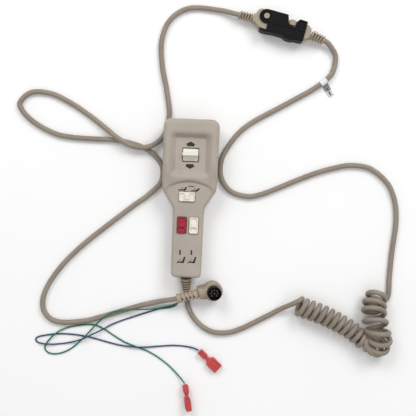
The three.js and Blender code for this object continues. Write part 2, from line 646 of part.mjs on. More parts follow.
add('socket_body', socketBody(), beige, link);
add('plug_body', plugBody(), beige, link);
add('lock_clip', lockClip(), black, link);
add('clip_pin', clipPin(), beige, link);
add('socket_boot', boot([-30.8, 0.2, LINK.z], [-45, -0.1, LINK.z - 0.3], 4.7, 4.3, 5), beige, link);
add('plug_boot', boot([30.2, -0.6, LINK.z], [44.6, -2.7, LINK.z - 0.5], 5.2, 4.4, 5), beige, link);

// ---------------------------------------------------------------- cord tag

function tagBand() {
  const outer = bar('x', TAG_R, TAG_WIDTH, [0, 0, 0], 14);
  const inner = bar('x', TAG_R - TAG_WALL, TAG_WIDTH + 2, [0, 0, 0], 12);
  return cut(outer, inner);
}

const tag = new THREE.Group();
tag.position.set(TAG.x, TAG.y, TAG.z);
tag.rotation.z = THREE.MathUtils.degToRad(TAG.turn);
model.add(tag);
add('tag_band', tagBand(), white, tag);
add('tag_flag', box(5.8, 12.6, 0.8, [0.6, -10.1, -2.2]).rotateZ(TAG_FLAG_TURN), clear, tag);

// ---------------------------------------------------------------- right-angle plug

const plug = new THREE.Group();
plug.position.set(PLUG.x, PLUG.y, PLUG.z);
plug.quaternion.setFromUnitVectors(
  new THREE.Vector3(0, 0, 1),
  new THREE.Vector3(PLUG.leanX, -PLUG.leanY, 1).normalize(),
);
model.add(plug);

// the round cup, and the hood that widens from the boot's root to the cup
function plugCup() {
  const straight = post(PLUG_R, 0, 0, 0, PLUG_BODY_H - PLUG_CHAMFER, 24);
  const chamfer = post(PLUG_R, 0, 0, PLUG_BODY_H - PLUG_CHAMFER, PLUG_BODY_H, 24, PLUG_R - PLUG_CHAMFER);
  const cup = join(straight, chamfer);
  const core = post(PLUG_R - 0.6, 0, 0, 0.8, PLUG_BODY_H - PLUG_CHAMFER, 24);
  for (const piece of [cup, core]) {
    piece.applyQuaternion(plug.quaternion).translate(PLUG.x, PLUG.y, PLUG.z);
  }
  const root = new THREE.Vector3(...PLUG_BOOT.root);
  const ahead = root.clone().sub(new THREE.Vector3(...PLUG_BOOT.end)).normalize();
  const face = post(HOOD_R, 0, 0, 0, 1, 20).scale(1, HOOD_FLAT, 1);
  face.applyMatrix4(new THREE.Matrix4().lookAt(ahead, new THREE.Vector3(), new THREE.Vector3(0, 0, 1)));
  const start = root.clone().addScaledVector(ahead, GAP);
  face.translate(start.x, start.y, start.z - 0.4);
  const hood = wasm.Manifold.hull([solid(core), solid(face)]);
  return join(cup, surface(hood));
}

// one contact in the middle and the others round it, with a gap for the key
const contactSpots = [[0, 0]];
for (let i = 0; i < CONTACT_COUNT_ON_CIRCLE; i += 1) {
  const angle = THREE.MathUtils.degToRad(-45 + 45 * i);
  contactSpots.push([CONTACT_CIRCLE * Math.cos(angle), CONTACT_CIRCLE * Math.sin(angle)]);
}

const FITTING_Z = PLUG_BODY_H + GAP; // foot of what stands on the plug's cup

function plugInsert() {
  const disc = post(SHELL_R - SHELL_WALL - GAP, 0, 0, FITTING_Z, FITTING_Z + INSERT_H, 16);
  const bores = contactSpots.map(([x, y]) => post(CONTACT_R + GAP, x, y, FITTING_Z - 1, FITTING_Z + 4, 6));
  return cut(disc, ...bores);
}

function plugShell() {
  const outer = post(SHELL_R, 0, 0, FITTING_Z, FITTING_Z + SHELL_H, 24);
  return cut(outer, post(SHELL_R - SHELL_WALL, 0, 0, FITTING_Z - 1, FITTING_Z + SHELL_H + 1, 24));
}

add('din_body', plugCup(), beige);
add('din_boot', boot(PLUG_BOOT.root, PLUG_BOOT.end, 5, 4.9, 4), beige);
add('din_shell', plugShell(), black, plug);
add('din_insert', plugInsert(), black, plug);
contactSpots.forEach(([x, y], i) => {
  add(`din_pin_${i + 1}`, post(CONTACT_R, x, y, FITTING_Z, FITTING_Z + CONTACT_H, 6), brass, plug);
});

// ---------------------------------------------------------------- push-on terminals

// a flat sleeve, with a slot at its mouth for the blade
function terminalSleeve() {
  const [, mouthX, mouthHalf] = TERMINAL_STEPS.at(-1);
  const thick = 2 * TERMINAL_HALF_THICK;
  const parts = TERMINAL_STEPS.map(([a, b, half]) => box(b - a, 2 * half, thick, [(a + b) / 2, 0, 0]));
  const slot = box(12.6, 2 * mouthHalf - 2, BLADE_THICK + 3, [mouthX - 5.3, 0, 0]);
  return cut(join(...parts), slot);
}

function terminalBlade() {
  const [, mouthX, mouthHalf] = TERMINAL_STEPS.at(-1);
  return box(10.4, 2 * (mouthHalf - 1 - GAP), BLADE_THICK, [mouthX - 6, 0, 0]);
}

// roll turns the terminal about its own length, turn about +Z
function addTerminal(name, at, turn, roll) {
  const group = new THREE.Group();
  group.position.set(...at);
  group.rotation.set(THREE.MathUtils.degToRad(roll), 0, THREE.MathUtils.degToRad(turn), 'ZXY');
  model.add(group);
  add(`${name}_sleeve`, terminalSleeve(), coral, group);
  add(`${name}_blade`, terminalBlade(), brass, group);
}

addTerminal('blue_terminal', [16.6, -153.5, 3], -41.6, 0);
addTerminal('green_terminal', [3.4, -187.4, 5.8], -79.7, 80);

export default model;
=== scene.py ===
"""The looks of a pendant control station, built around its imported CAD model.

The scene is in metres, in the CAD model's frame: +Y towards the hand control's head, +Z up.
A field, which gives a body its shape, works in millimetres: it takes arrays of x, y and z
and gives the distance to the body's surface, negative inside. Its frame is the model's, or
one of the piece's own that a matrix places.
"""
import json
import math

import bpy
import numpy as np
from mathutils import Matrix, Vector


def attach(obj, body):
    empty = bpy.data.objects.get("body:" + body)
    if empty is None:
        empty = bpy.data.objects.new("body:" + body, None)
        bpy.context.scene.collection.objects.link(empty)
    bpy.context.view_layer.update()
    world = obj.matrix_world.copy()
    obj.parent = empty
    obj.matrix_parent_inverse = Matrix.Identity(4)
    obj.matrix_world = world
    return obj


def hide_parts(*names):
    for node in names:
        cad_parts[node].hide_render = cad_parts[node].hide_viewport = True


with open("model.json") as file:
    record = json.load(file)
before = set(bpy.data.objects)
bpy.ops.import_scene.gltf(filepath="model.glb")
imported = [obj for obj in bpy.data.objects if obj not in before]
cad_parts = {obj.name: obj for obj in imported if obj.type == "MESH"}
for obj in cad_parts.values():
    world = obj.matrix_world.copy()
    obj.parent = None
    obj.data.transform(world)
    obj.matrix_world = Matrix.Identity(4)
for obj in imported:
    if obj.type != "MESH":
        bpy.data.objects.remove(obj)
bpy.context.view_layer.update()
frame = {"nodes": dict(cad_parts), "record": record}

MM = 0.001
BODY = "case"

# ---------------------------------------------------------------- camera

CAMERA_PLACE = (0.0193, -0.009, 0.9)
CAMERA_ROLL = math.radians(2.3)
CAMERA_LENS = 77.0


def make_camera():
    data = bpy.data.cameras.new("camera")
    data.lens = CAMERA_LENS
    camera = bpy.data.objects.new("camera", data)
    camera.location = CAMERA_PLACE
    camera.rotation_euler = (0, 0, CAMERA_ROLL)
    bpy.context.scene.collection.objects.link(camera)
    bpy.context.scene.camera = camera


make_camera()

# ---------------------------------------------------------------- materials


def linear(red, green, blue):
    """A colour's linear values from its 0 to 255 display values."""
    return [((c / 255 + 0.055) / 1.055) ** 2.4 for c in (red, green, blue)] + [1.0]


def node(tree, kind, **inputs):
    made = tree.nodes.new(kind)
    for name, value in inputs.items():
        made.inputs[name.replace("_", " ")].default_value = value
    return made


def moulded(name, light, dark, roughness, grain=900.0, depth=0.00004, patch=35.0, **shader_values):
    """A moulded plastic: two close colours in soft patches, and a fine grain.

    grain and patch are how many times the pattern repeats in a metre, depth the grain's
    height in metres. shader_values are uniform values of the shader's own sockets."""
    material = bpy.data.materials.new(name)
    material.use_nodes = True
    tree = material.node_tree
    shader = tree.nodes["Principled BSDF"]
    for socket, value in shader_values.items():
        shader.inputs[socket.replace("_", " ")].default_value = value
    place = tree.nodes.new("ShaderNodeTexCoord").outputs["Object"]

    patches = node(tree, "ShaderNodeTexNoise", Scale=patch, Detail=3.0, Roughness=0.55)
    tree.links.new(place, patches.inputs["Vector"])
    spread = node(tree, "ShaderNodeMapRange", From_Min=0.35, From_Max=0.65)
    tree.links.new(patches.outputs["Fac"], spread.inputs["Value"])
    tint = tree.nodes.new("ShaderNodeMix")
    tint.data_type = "RGBA"
    tint.inputs[6].default_value = linear(*dark)
    tint.inputs[7].default_value = linear(*light)
    tree.links.new(spread.outputs["Result"], tint.inputs[0])
    tree.links.new(tint.outputs[2], shader.inputs["Base Color"])

    fine = node(tree, "ShaderNodeTexNoise", Scale=grain, Detail=2.0, Roughness=0.6)
    tree.links.new(place, fine.inputs["Vector"])
    bump = node(tree, "ShaderNodeBump", Strength=0.7, Distance=depth)
    tree.links.new(fine.outputs["Fac"], bump.inputs["Height"])
    tree.links.new(bump.outputs["Normal"], shader.inputs["Normal"])
    gloss = node(
        tree, "ShaderNodeMapRange", From_Min=0.3, From_Max=0.7,
        To_Min=roughness - 0.05, To_Max=roughness + 0.05,
    )
    tree.links.new(fine.outputs["Fac"], gloss.inputs["Value"])
    tree.links.new(gloss.outputs["Result"], shader.inputs["Roughness"])
    return material


HOUSING = moulded("housing_plastic", (171, 161, 150), (162, 152, 142), 0.5)
BOOT = moulded("boot_plastic", (163, 149, 130), (153, 139, 120), 0.55, grain=700.0)
JACKET = moulded("cord_jacket", (144, 132, 119), (134, 122, 109), 0.52, grain=1100.0, patch=60.0)
CLIP = moulded(
    "black_plastic", (10, 10, 11), (6, 6, 7), 0.5, depth=0.00002, Specular_IOR_Level=0.15,
)
CAP = moulded("white_plastic", (228, 223, 210), (220, 214, 200), 0.36, depth=0.00001)
RED_CAP = moulded("red_plastic", (164, 20, 50), (150, 16, 44), 0.36, depth=0.00001)
SLEEVE = moulded(
    "sleeve_vinyl", (196, 66, 66), (180, 52, 54), 0.34, grain=500.0,
    Subsurface_Weight=0.12, Subsurface_Scale=0.002,
)
GREEN = moulded("green_pvc", (8, 118, 90), (6, 106, 80), 0.4, depth=0.00001)
BLUE = moulded("blue_pvc", (34, 62, 100), (26, 52, 88), 0.4, depth=0.00001)
LEGEND = moulded("legend_ink", (38, 20, 27), (32, 16, 22), 0.6, depth=0.00001)
TAG_WHITE = moulded("tag_film", (232, 234, 236), (220, 222, 225), 0.4, depth=0.00001)
TAG_GREY = moulded("tag_print", (128, 130, 134), (112, 114, 120), 0.4, depth=0.00001)
TAG_BLACK = moulded("tag_ink", (44, 46, 50), (34, 36, 40), 0.5, depth=0.00001)
TAG_CLEAR = moulded(
    "tag_clear", (224, 225, 222), (214, 215, 211), 0.25, depth=0.00001, Alpha=0.55,
)
BOARD = moulded("solder_mask", (34, 92, 58), (26, 78, 48), 0.45)
STEEL = moulded("steel", (180, 181, 184), (160, 162, 166), 0.3, depth=0.00001, Metallic=1.0)
NICKEL = moulded("nickel", (150, 148, 142), (128, 126, 121), 0.4, depth=0.00001, Metallic=1.0)
BRASS = moulded("brass", (214, 182, 112), (196, 162, 92), 0.32, depth=0.00001, Metallic=1.0)

# ---------------------------------------------------------------- cords

CORD_D = 0.0052
WIRE_D = 0.0015
ROUTE_STEP = 0.0015  # between points on a smooth route

# The routes repeat the CAD's, but each end reaches into its boot, and the two that meet the
# curls bend more gently there.

# hand control to the curls
HANDSET_LEAD = [
    (0.0006, -0.0906, 0.0052), (0.0009, -0.0942, 0.0034), (0.0012, -0.0986, 0.0028),
    (0.0019, -0.1034, 0.00265), (0.0037, -0.1105, 0.00265), (0.007, -0.117, 0.00265),
    (0.0115, -0.1228, 0.00265),
    (0.0168, -0.1276, 0.00265), (0.0228, -0.1313, 0.00265), (0.0298, -0.1338, 0.00265),
    (0.0378, -0.1344, 0.00265), (0.0468, -0.1332, 0.00265), (0.0568, -0.1296, 0.00265),
    (0.0666, -0.1246, 0.00265), (0.0764, -0.1192, 0.00265), (0.0862, -0.1138, 0.00265),
    (0.0935, -0.1093, 0.0036), (0.1, -0.1054, 0.0074), (0.1056, -0.1021, 0.0122),
    (0.1104, -0.0993, 0.015), (0.1144, -0.0971, 0.0146),
]
# the curls to the inline connector
CONNECTOR_LEAD = [
    (0.1986, -0.0944, 0.00265), (0.2024, -0.0939, 0.00265), (0.2044, -0.0895, 0.00265),
    (0.2048, -0.073, 0.00265), (0.2062, -0.048, 0.00265), (0.2076, -0.0345, 0.00265),
    (0.209, -0.0215, 0.00265), (0.2092, -0.0095, 0.00265), (0.2078, 0.0025, 0.00265),
    (0.2042, 0.014, 0.00265), (0.1984, 0.0238, 0.00265), (0.181, 0.0372, 0.00265),
    (0.1605, 0.0396, 0.00265), (0.1455, 0.0366, 0.00265), (0.1306, 0.032, 0.00265),
    (0.116, 0.0262, 0.00265), (0.101, 0.0195, 0.00265), (0.086, 0.0126, 0.00265),
    (0.0714, 0.0066, 0.00265), (0.0594, 0.0042, 0.00265), (0.0406, 0.0092, 0.00265),
    (0.0312, 0.0228, 0.00265), (0.031, 0.04, 0.00265), (0.0394, 0.0572, 0.00265),
    (0.0484, 0.069, 0.00265), (0.0584, 0.0776, 0.00265), (0.073, 0.0868, 0.00265),
    (0.088, 0.0954, 0.00265), (0.1028, 0.1042, 0.00265), (0.1176, 0.113, 0.0029),
    (0.1274, 0.12, 0.0037), (0.1334, 0.125, 0.0037), (0.1393, 0.1324, 0.0029),
    (0.1414, 0.1496, 0.003), (0.1332, 0.161, 0.0064), (0.1312, 0.1624, 0.0069),
    (0.1264, 0.1643, 0.0071),
]
# inline connector to the round plug, over itself once on the way
CHAIR_LEAD = [
    (0.0452, 0.1854, 0.0073), (0.0412, 0.1863, 0.0072), (0.035, 0.1879, 0.0058), (0.0255, 0.1903, 0.0034),
    (-0.0088, 0.1912, 0.00265), (-0.0262, 0.1792, 0.00265), (-0.0339, 0.1586, 0.00265),
    (-0.0326, 0.133, 0.00265), (-0.0267, 0.106, 0.00265), (-0.0234, 0.0815, 0.00265),
    (-0.0286, 0.0616, 0.0028), (-0.0416, 0.0504, 0.0072), (-0.0586, 0.0499, 0.0081),
    (-0.0728, 0.0568, 0.0081), (-0.0896, 0.0693, 0.0042), (-0.1026, 0.0787, 0.0027),
    (-0.124, 0.0918, 0.00265), (-0.1446, 0.1003, 0.00265), (-0.1642, 0.1, 0.00265),
    (-0.1744, 0.0896, 0.00265), (-0.1726, 0.083, 0.00265), (-0.1596, 0.0706, 0.00265),
    (-0.137, 0.0596, 0.00265), (-0.1226, 0.057, 0.00265), (-0.1076, 0.0562, 0.00265),
    (-0.0926, 0.056, 0.00265), (-0.08, 0.0558, 0.00265), (-0.0604, 0.0532, 0.00265),
    (-0.0416, 0.0458, 0.00265), (-0.0292, 0.0324, 0.00265), (-0.0288, 0.0162, 0.00265),
    (-0.0398, 0.003, 0.00265), (-0.0546, -0.0086, 0.00265), (-0.0692, -0.0205, 0.00265),
    (-0.0838, -0.0326, 0.00265), (-0.0984, -0.045, 0.00265), (-0.1118, -0.0576, 0.00265),
    (-0.1236, -0.0704, 0.00265), (-0.1332, -0.0836, 0.00265), (-0.1402, -0.0964, 0.00265),
    (-0.1434, -0.1084, 0.00265), (-0.142, -0.119, 0.00265), (-0.1356, -0.1266, 0.00265),
    (-0.1254, -0.1298, 0.00265), (-0.099, -0.1274, 0.00265), (-0.0846, -0.1232, 0.00265),
    (-0.055, -0.1132, 0.00265), (-0.0406, -0.1086, 0.0028), (-0.0276, -0.1052, 0.0046),
    (-0.017, -0.1028, 0.0088), (-0.0098, -0.101, 0.0117), (-0.0054, -0.0999, 0.0117),
]
GREEN_WIRE = [
    (-0.0062, -0.1036, 0.0092),
    (-0.0094, -0.1069, 0.0034), (-0.015, -0.1089, 0.0028), (-0.025, -0.1114, 0.0029),
    (-0.034, -0.113, 0.0039), (-0.0426, -0.1136, 0.0058), (-0.052, -0.114, 0.007),
    (-0.0626, -0.1146, 0.007), (-0.0726, -0.1174, 0.007), (-0.0796, -0.122, 0.0066),
    (-0.0852, -0.1272, 0.0042), (-0.0898, -0.1322, 0.003), (-0.0946, -0.1376, 0.0022),
    (-0.099, -0.1428, 0.0028), (-0.1044, -0.1484, 0.0018), (-0.11, -0.1538, 0.0009),
    (-0.1184, -0.1594, 0.0009), (-0.1288, -0.1624, 0.0009), (-0.1368, -0.161, 0.0009),
    (-0.1398, -0.1566, 0.0009), (-0.138, -0.1516, 0.0009), (-0.134, -0.1464, 0.0018),
    (-0.129, -0.1414, 0.0029), (-0.1228, -0.1374, 0.0016), (-0.115, -0.1346, 0.0009),
    (-0.107, -0.1329, 0.0009), (-0.0986, -0.1316, 0.0009), (-0.09, -0.1316, 0.0009),
    (-0.081, -0.1352, 0.0009), (-0.0714, -0.141, 0.0009), (-0.06, -0.1474, 0.0009),
    (-0.0466, -0.1523, 0.0009), (-0.0344, -0.1566, 0.0009), (-0.023, -0.163, 0.0009),
    (-0.0124, -0.171, 0.0009), (-0.0024, -0.1806, 0.0022), (0.0028, -0.1862, 0.0049),
]
BLUE_WIRE = [
    (-0.0062, -0.104, 0.0085),
    (-0.0096, -0.1086, 0.0013), (-0.015, -0.1109, 0.0009), (-0.025, -0.1126, 0.0009),
    (-0.0352, -0.1158, 0.0009), (-0.05, -0.1212, 0.0009), (-0.065, -0.1268, 0.0009),
    (-0.075, -0.1314, 0.0018), (-0.0806, -0.1348, 0.0029), (-0.0866, -0.138, 0.0038),
    (-0.0934, -0.1414, 0.0047), (-0.0998, -0.1448, 0.005), (-0.1074, -0.148, 0.0032),
    (-0.1166, -0.1506, 0.0012), (-0.1276, -0.1524, 0.0009), (-0.1384, -0.1526, 0.0029),
    (-0.1462, -0.1516, 0.0012), (-0.1484, -0.1504, 0.0009),
    (-0.1493, -0.1486, 0.0009), (-0.1484, -0.1467, 0.0009), (-0.146, -0.1455, 0.0009),
    (-0.139, -0.1438, 0.0009), (-0.129, -0.1422, 0.0009), (-0.117, -0.1418, 0.0009),
    (-0.105, -0.1426, 0.0009), (-0.0944, -0.1442, 0.0009), (-0.0824, -0.147, 0.0009),
    (-0.07, -0.1499, 0.0009), (-0.058, -0.1516, 0.0016), (-0.0466, -0.1521, 0.0029),
    (-0.0354, -0.1516, 0.0016), (-0.0234, -0.1504, 0.0009), (-0.0114, -0.1492, 0.0009),
    (0.0004, -0.1494, 0.0009), (0.0094, -0.1506, 0.0018), (0.0158, -0.1528, 0.0029),
]

# The curls, station by station: turn, x and y of the turn's middle, heading of the turn's
# axis in degrees from +X, mean radius, and how far in degrees its top leans that way.
# Turns 9 to 17, in and after the fold, run through one another, which a real cord can't.
CURL_STATIONS = [
    (0.00, 0.1136, -0.1031, -24, 0.0080, 0),
    (0.75, 0.1177, -0.1045, -24, 0.0080, 0),
    (4.75, 0.1434, -0.1134, -24, 0.0078, 0),
    (6.75, 0.1556, -0.1192, -27, 0.0075, 0),
    (8.75, 0.1677, -0.1258, -30, 0.0072, 0),
    (10.75, 0.1790, -0.1347, -20, 0.0070, -8),
    (11.75, 0.1840, -0.1378, 4, 0.0074, -20),
    (12.75, 0.1882, -0.1397, 26, 0.0086, -36),
    (13.75, 0.1917, -0.1402, 55, 0.0100, -46),
    (14.75, 0.1945, -0.1384, 82, 0.0108, -44),
    (15.75, 0.1950, -0.1322, 96, 0.0110, -32),
    (16.75, 0.1929, -0.1258, 98, 0.0108, -4),
    (17.75, 0.1904, -0.1160, 102, 0.0107, 20),
    (18.75, 0.1889, -0.1059, 92, 0.0102, 28),
    (19.75, 0.1890, -0.0990, 85, 0.0101, 30),
    (20.75, 0.1908, -0.0910, 80, 0.0094, 30),
    (21.20, 0.1919, -0.0887, 78, 0.0090, 28),
]
CURL_STEPS = 28  # points in one turn
CURL_REST = 0.0002  # gap under the turns


def smooth_route(points, step=ROUTE_STEP):
    """Points a step apart on a centripetal Catmull-Rom curve through the given ones."""
    given = np.array(points, float)
    ends = [2 * given[0] - given[1]], [2 * given[-1] - given[-2]]
    held = np.concatenate([ends[0], given, ends[1]])
    route = []
    for p0, p1, p2, p3 in zip(held, held[1:], held[2:], held[3:]):
        t1 = np.linalg.norm(p1 - p0) ** 0.5
        t2 = t1 + np.linalg.norm(p2 - p1) ** 0.5
        t3 = t2 + np.linalg.norm(p3 - p2) ** 0.5
        count = max(2, math.ceil(np.linalg.norm(p2 - p1) / step))
        t = np.linspace(t1, t2, count, endpoint=False)[:, None]
        a1 = (p0 * (t1 - t) + p1 * t) / t1
        a2 = (p1 * (t2 - t) + p2 * (t - t1)) / (t2 - t1)
        a3 = (p2 * (t3 - t) + p3 * (t - t2)) / (t3 - t2)
        b1 = (a1 * (t2 - t) + a2 * t) / t2
        b2 = (a2 * (t3 - t) + a3 * (t - t1)) / (t3 - t1)
        route.append((b1 * (t2 - t) + b2 * (t - t1)) / (t2 - t1))
    return np.concatenate([*route, given[-1:]])


def curls():
    """The curly cord's middle line: turns about the stations, which lie on the floor."""
    table = np.array(CURL_STATIONS, float)
    turns = np.arange(table[0, 0], table[-1, 0], 1 / CURL_STEPS)
    slopes = np.gradient(table[:, 1:], table[:, 0], axis=0)
    left = np.clip(np.searchsorted(table[:, 0], turns, side="right") - 1, 0, len(table) - 2)
    span = table[left + 1, 0] - table[left, 0]
    t = ((turns - table[left, 0]) / span)[:, None]
    start, end = table[left, 1:], table[left + 1, 1:]
    out, back = slopes[left] * span[:, None], slopes[left + 1] * span[:, None]
    values = (
        start * (1 + 2 * t) * (1 - t) ** 2 + out * t * (1 - t) ** 2
        + end * t**2 * (3 - 2 * t) + back * t**2 * (t - 1)
    )
    x, y, heading, radius, lean = values.T
    heading, lean = np.radians(heading), np.radians(lean)
    turned = -2 * np.pi * turns
    side, rise = radius * np.cos(turned), radius * np.sin(turned)
    ahead = rise * np.sin(lean)
    middle = CORD_D / 2 + CURL_REST + radius * np.cos(lean)
    return np.stack([
        x - side * np.sin(heading) + ahead * np.cos(heading),
        y + side * np.cos(heading) + ahead * np.sin(heading),
        middle + rise * np.cos(lean),
    ], axis=1)


def cord_piece(name, route, diameter, material):
    curve = bpy.data.curves.new(name, "CURVE")
    curve.dimensions = "3D"
    curve.bevel_depth = diameter / 2
    curve.bevel_resolution = 5
    curve.use_fill_caps = True
    spline = curve.splines.new("POLY")
    spline.points.add(len(route) - 1)
    spline.points.foreach_set("co", np.c_[route, np.ones(len(route))].ravel())
    spline.use_smooth = True
    piece = bpy.data.objects.new(name, curve)
    bpy.context.scene.collection.objects.link(piece)
    curve.materials.append(material)
    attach(piece, BODY)
    return piece


coil = curls()
HANDSET_ROUTE = smooth_route([*HANDSET_LEAD, *coil[::2], *CONNECTOR_LEAD])
CHAIR_ROUTE = smooth_route(CHAIR_LEAD)
GREEN_ROUTE = smooth_route(GREEN_WIRE)
BLUE_ROUTE = smooth_route(BLUE_WIRE)

handset_cord = cord_piece("handset_cord", HANDSET_ROUTE, CORD_D, JACKET)
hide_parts("handset_lead", "curly_cord", "connector_lead")
chair_cord = cord_piece("plug_cord", CHAIR_ROUTE, CORD_D, JACKET)
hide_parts("chair_lead")
green_wire = cord_piece("green_lead", GREEN_ROUTE, WIRE_D, GREEN)
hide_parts("green_wire")
blue_wire = cord_piece("blue_lead", BLUE_ROUTE, WIRE_D, BLUE)
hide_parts("blue_wire")

# ---------------------------------------------------------------- fields


def smoothstep(low, high, value):
    t = np.clip((value - low) / (high - low), 0, 1)
    return t * t * (3 - 2 * t)


def round_and(a, b, radius):
    """What two bodies share, its edge rounded."""
    over = np.hypot(np.maximum(a + radius, 0), np.maximum(b + radius, 0))
    return np.minimum(np.maximum(a, b), -radius) + over


def round_or(a, b, radius):
    """Two bodies together, with a fillet where they meet."""
    under = np.hypot(np.maximum(radius - a, 0), np.maximum(radius - b, 0))
    return np.maximum(np.minimum(a, b), radius) - under


def round_cut(a, b, radius):
    """A body less another, the new edge rounded."""
    return round_and(a, -b, radius)


def slab(value, low, high):
    return np.maximum(low - value, value - high)


def box2(x, y, half_x, half_y, corner):
    """A rectangle about (0, 0) with round corners."""
    over_x, over_y = np.abs(x) - half_x + corner, np.abs(y) - half_y + corner
    outside = np.hypot(np.maximum(over_x, 0), np.maximum(over_y, 0))
    return outside + np.minimum(np.maximum(over_x, over_y), 0) - corner


def rod(x, y, z, start, end, radius_start, radius_end):
    """A bar with domed ends whose radius changes along it."""
    (ax, ay, az), (dx, dy, dz) = start, np.subtract(end, start)
    t = ((x - ax) * dx + (y - ay) * dy + (z - az) * dz) / (dx * dx + dy * dy + dz * dz)
    t = np.clip(t, 0, 1)
    away = np.sqrt((x - ax - t * dx) ** 2 + (y - ay - t * dy) ** 2 + (z - az - t * dz) ** 2)
    return away - radius_start - t * (radius_end - radius_start)


def to_polyline(x, y, points):
    nearest = np.inf
    for (ax, ay), (bx, by) in zip(points, points[1:]):
        dx, dy = bx - ax, by - ay
        t = np.clip(((x - ax) * dx + (y - ay) * dy) / (dx * dx + dy * dy), 0, 1)
        nearest = np.minimum(nearest, np.hypot(x - ax - t * dx, y - ay - t * dy))
    return nearest


def polygon(x, y, points):
    """The inside of a polygon."""
    closed = [*points, points[0]]
    inside = False
    for (ax, ay), (bx, by) in zip(closed, closed[1:]):
        if ay != by:
            crosses = (y < ay) != (y < by)
            inside = inside ^ (crosses & (x < ax + (bx - ax) * (y - ay) / (by - ay)))
    return to_polyline(x, y, closed) * np.where(inside, -1, 1)


def arc(centre_x, centre_y, radius, start, end, steps):
    angles = np.radians(np.linspace(start, end, steps + 1))
    return [(centre_x + radius * math.cos(a), centre_y + radius * math.sin(a)) for a in angles]


def soft_corner(before, corner, after, cut_before, cut_after, steps=5):
    """A corner as a quadratic curve, from cut_before of the way back to cut_after of the way on."""
    before, corner, after = (np.array(p, float) for p in (before, corner, after))
    start = corner + (before - corner) * cut_before
    end = corner + (after - corner) * cut_after
    t = np.linspace(0, 1, steps + 1)[:, None]
    curve = start * (1 - t) ** 2 + corner * 2 * t * (1 - t) + end * t**2
    return [tuple(p) for p in curve]


def softened(points, radius):
    """A polygon with its corners softened, each within a radius of the corner."""
    rounded = []
    for i, corner in enumerate(points):
        before, after = points[i - 1], points[(i + 1) % len(points)]
        cuts = [min(0.45, radius / math.dist(corner, other)) for other in (before, after)]
        rounded += soft_corner(before, corner, after, *cuts, steps=3)
    return rounded


# ---------------------------------------------------------------- meshes from fields

CELL_CORNERS = [(i, j, k) for i in (0, 1) for j in (0, 1) for k in (0, 1)]
GRADIENT_STEP = 0.01
DETAIL = 1.0


def gradient(field, points):
    here = field(*points.T)
    shifts = np.eye(3) * GRADIENT_STEP
    slopes = [(field(*(points + shift).T) - here) / GRADIENT_STEP for shift in shifts]
    return here, np.stack(slopes, axis=1)


def settle(field, points, centres, step):
    """Move points onto the field's zero, each within its own cell."""
    for _ in range(3):
        distance, slope = gradient(field, points)
        scale = distance / np.maximum((slope**2).sum(axis=1), 0.3)
        moved = points - slope * scale[:, None]
        points = np.clip(moved, centres - 0.55 * step, centres + 0.55 * step)
    return points


def net_quads(inside, ids):
    """A quad round each edge of the grid that crosses the surface, facing out."""
    quads = []
    for axis in range(3):
        grid, cells = np.moveaxis(inside, axis, 0), np.moveaxis(ids, axis, 0)
        low, high = grid[:-1, 1:-1, 1:-1], grid[1:, 1:-1, 1:-1]
        i, j, k = np.nonzero(low != high)
        quad = np.stack([cells[i, j, k], cells[i, j + 1, k], cells[i, j + 1, k + 1],
                         cells[i, j, k + 1]], axis=1)
        flip = low[i, j, k] == (axis == 1)
        quad[flip] = quad[flip][:, ::-1]
        quads.append(quad)
    return np.concatenate(quads)


def relaxed(points, quads):
    """Points moved halfway to the middle of their neighbours."""
    ends = np.concatenate([quads[:, [i, (i + 1) % 4]] for i in range(4)])
    count = np.bincount(ends[:, 0], minlength=len(points)) + np.bincount(ends[:, 1], minlength=len(points))
    total = [
        np.bincount(ends[:, 0], points[ends[:, 1], axis], len(points))
        + np.bincount(ends[:, 1], points[ends[:, 0], axis], len(points))
        for axis in range(3)
    ]
    return (points + np.stack(total, axis=1) / count[:, None]) / 2


def net(field, low, high, step):
    """Points, quads and normals on the zero of a field, inside a box."""
    axes = [np.arange(start - 1.5 * step, end + 2.5 * step, step) for start, end in zip(low, high)]
    shape = tuple(len(axis) for axis in axes)
    inside = np.broadcast_to(field(*np.meshgrid(*axes, indexing="ij", sparse=True)), shape) < 0
    corners = [inside[i:shape[0] - 1 + i, j:shape[1] - 1 + j, k:shape[2] - 1 + k]
               for i, j, k in CELL_CORNERS]
    mixed = np.logical_or.reduce(corners) & ~np.logical_and.reduce(corners)
    cells = np.argwhere(mixed)
    ids = np.full(mixed.shape, -1)
    ids[mixed] = np.arange(len(cells))
    quads = net_quads(inside, ids)
    centres = np.stack([axes[i][cells[:, i]] for i in range(3)], axis=1) + step / 2
    points = settle(field, centres, centres, step)
    for _ in range(2):
        points = settle(field, relaxed(points, quads), centres, step)
    slope = gradient(field, points)[1]
    normals = slope / np.maximum(np.linalg.norm(slope, axis=1), 1e-6)[:, None]
    return points, quads, normals


def net_piece(name, field, low, high, step, material, replaces, place=Matrix(), body=BODY):
    points, quads, normals = net(field, low, high, step * DETAIL)
    turn = np.array(place.to_3x3())
    points = (points @ turn.T + np.array(place.translation)) * MM
    mesh = bpy.data.meshes.new(name)
    mesh.vertices.add(len(points))
    mesh.vertices.foreach_set("co", points.ravel())
    mesh.loops.add(quads.size)
    mesh.loops.foreach_set("vertex_index", quads.ravel())
    mesh.polygons.add(len(quads))
    mesh.polygons.foreach_set("loop_start", np.arange(0, quads.size, 4))
    mesh.update()
    mesh.shade_smooth()
    mesh.normals_split_custom_set_from_vertices(normals @ turn.T)
    mesh.materials.append(material)
    piece = bpy.data.objects.new(name, mesh)
    bpy.context.scene.collection.objects.link(piece)
    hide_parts(*replaces)
    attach(piece, body)
    return piece


def along(start, end):
    """A frame at start: x to the left of the way to end, y up, z towards end."""
    ahead = (Vector(end) - Vector(start)).normalized()
    side = Vector((0, 0, 1)).cross(ahead).normalized()
    turn = Matrix((side, ahead.cross(side), ahead)).transposed()
    return Matrix.Translation(start) @ turn.to_4x4()


# ---------------------------------------------------------------- hand control

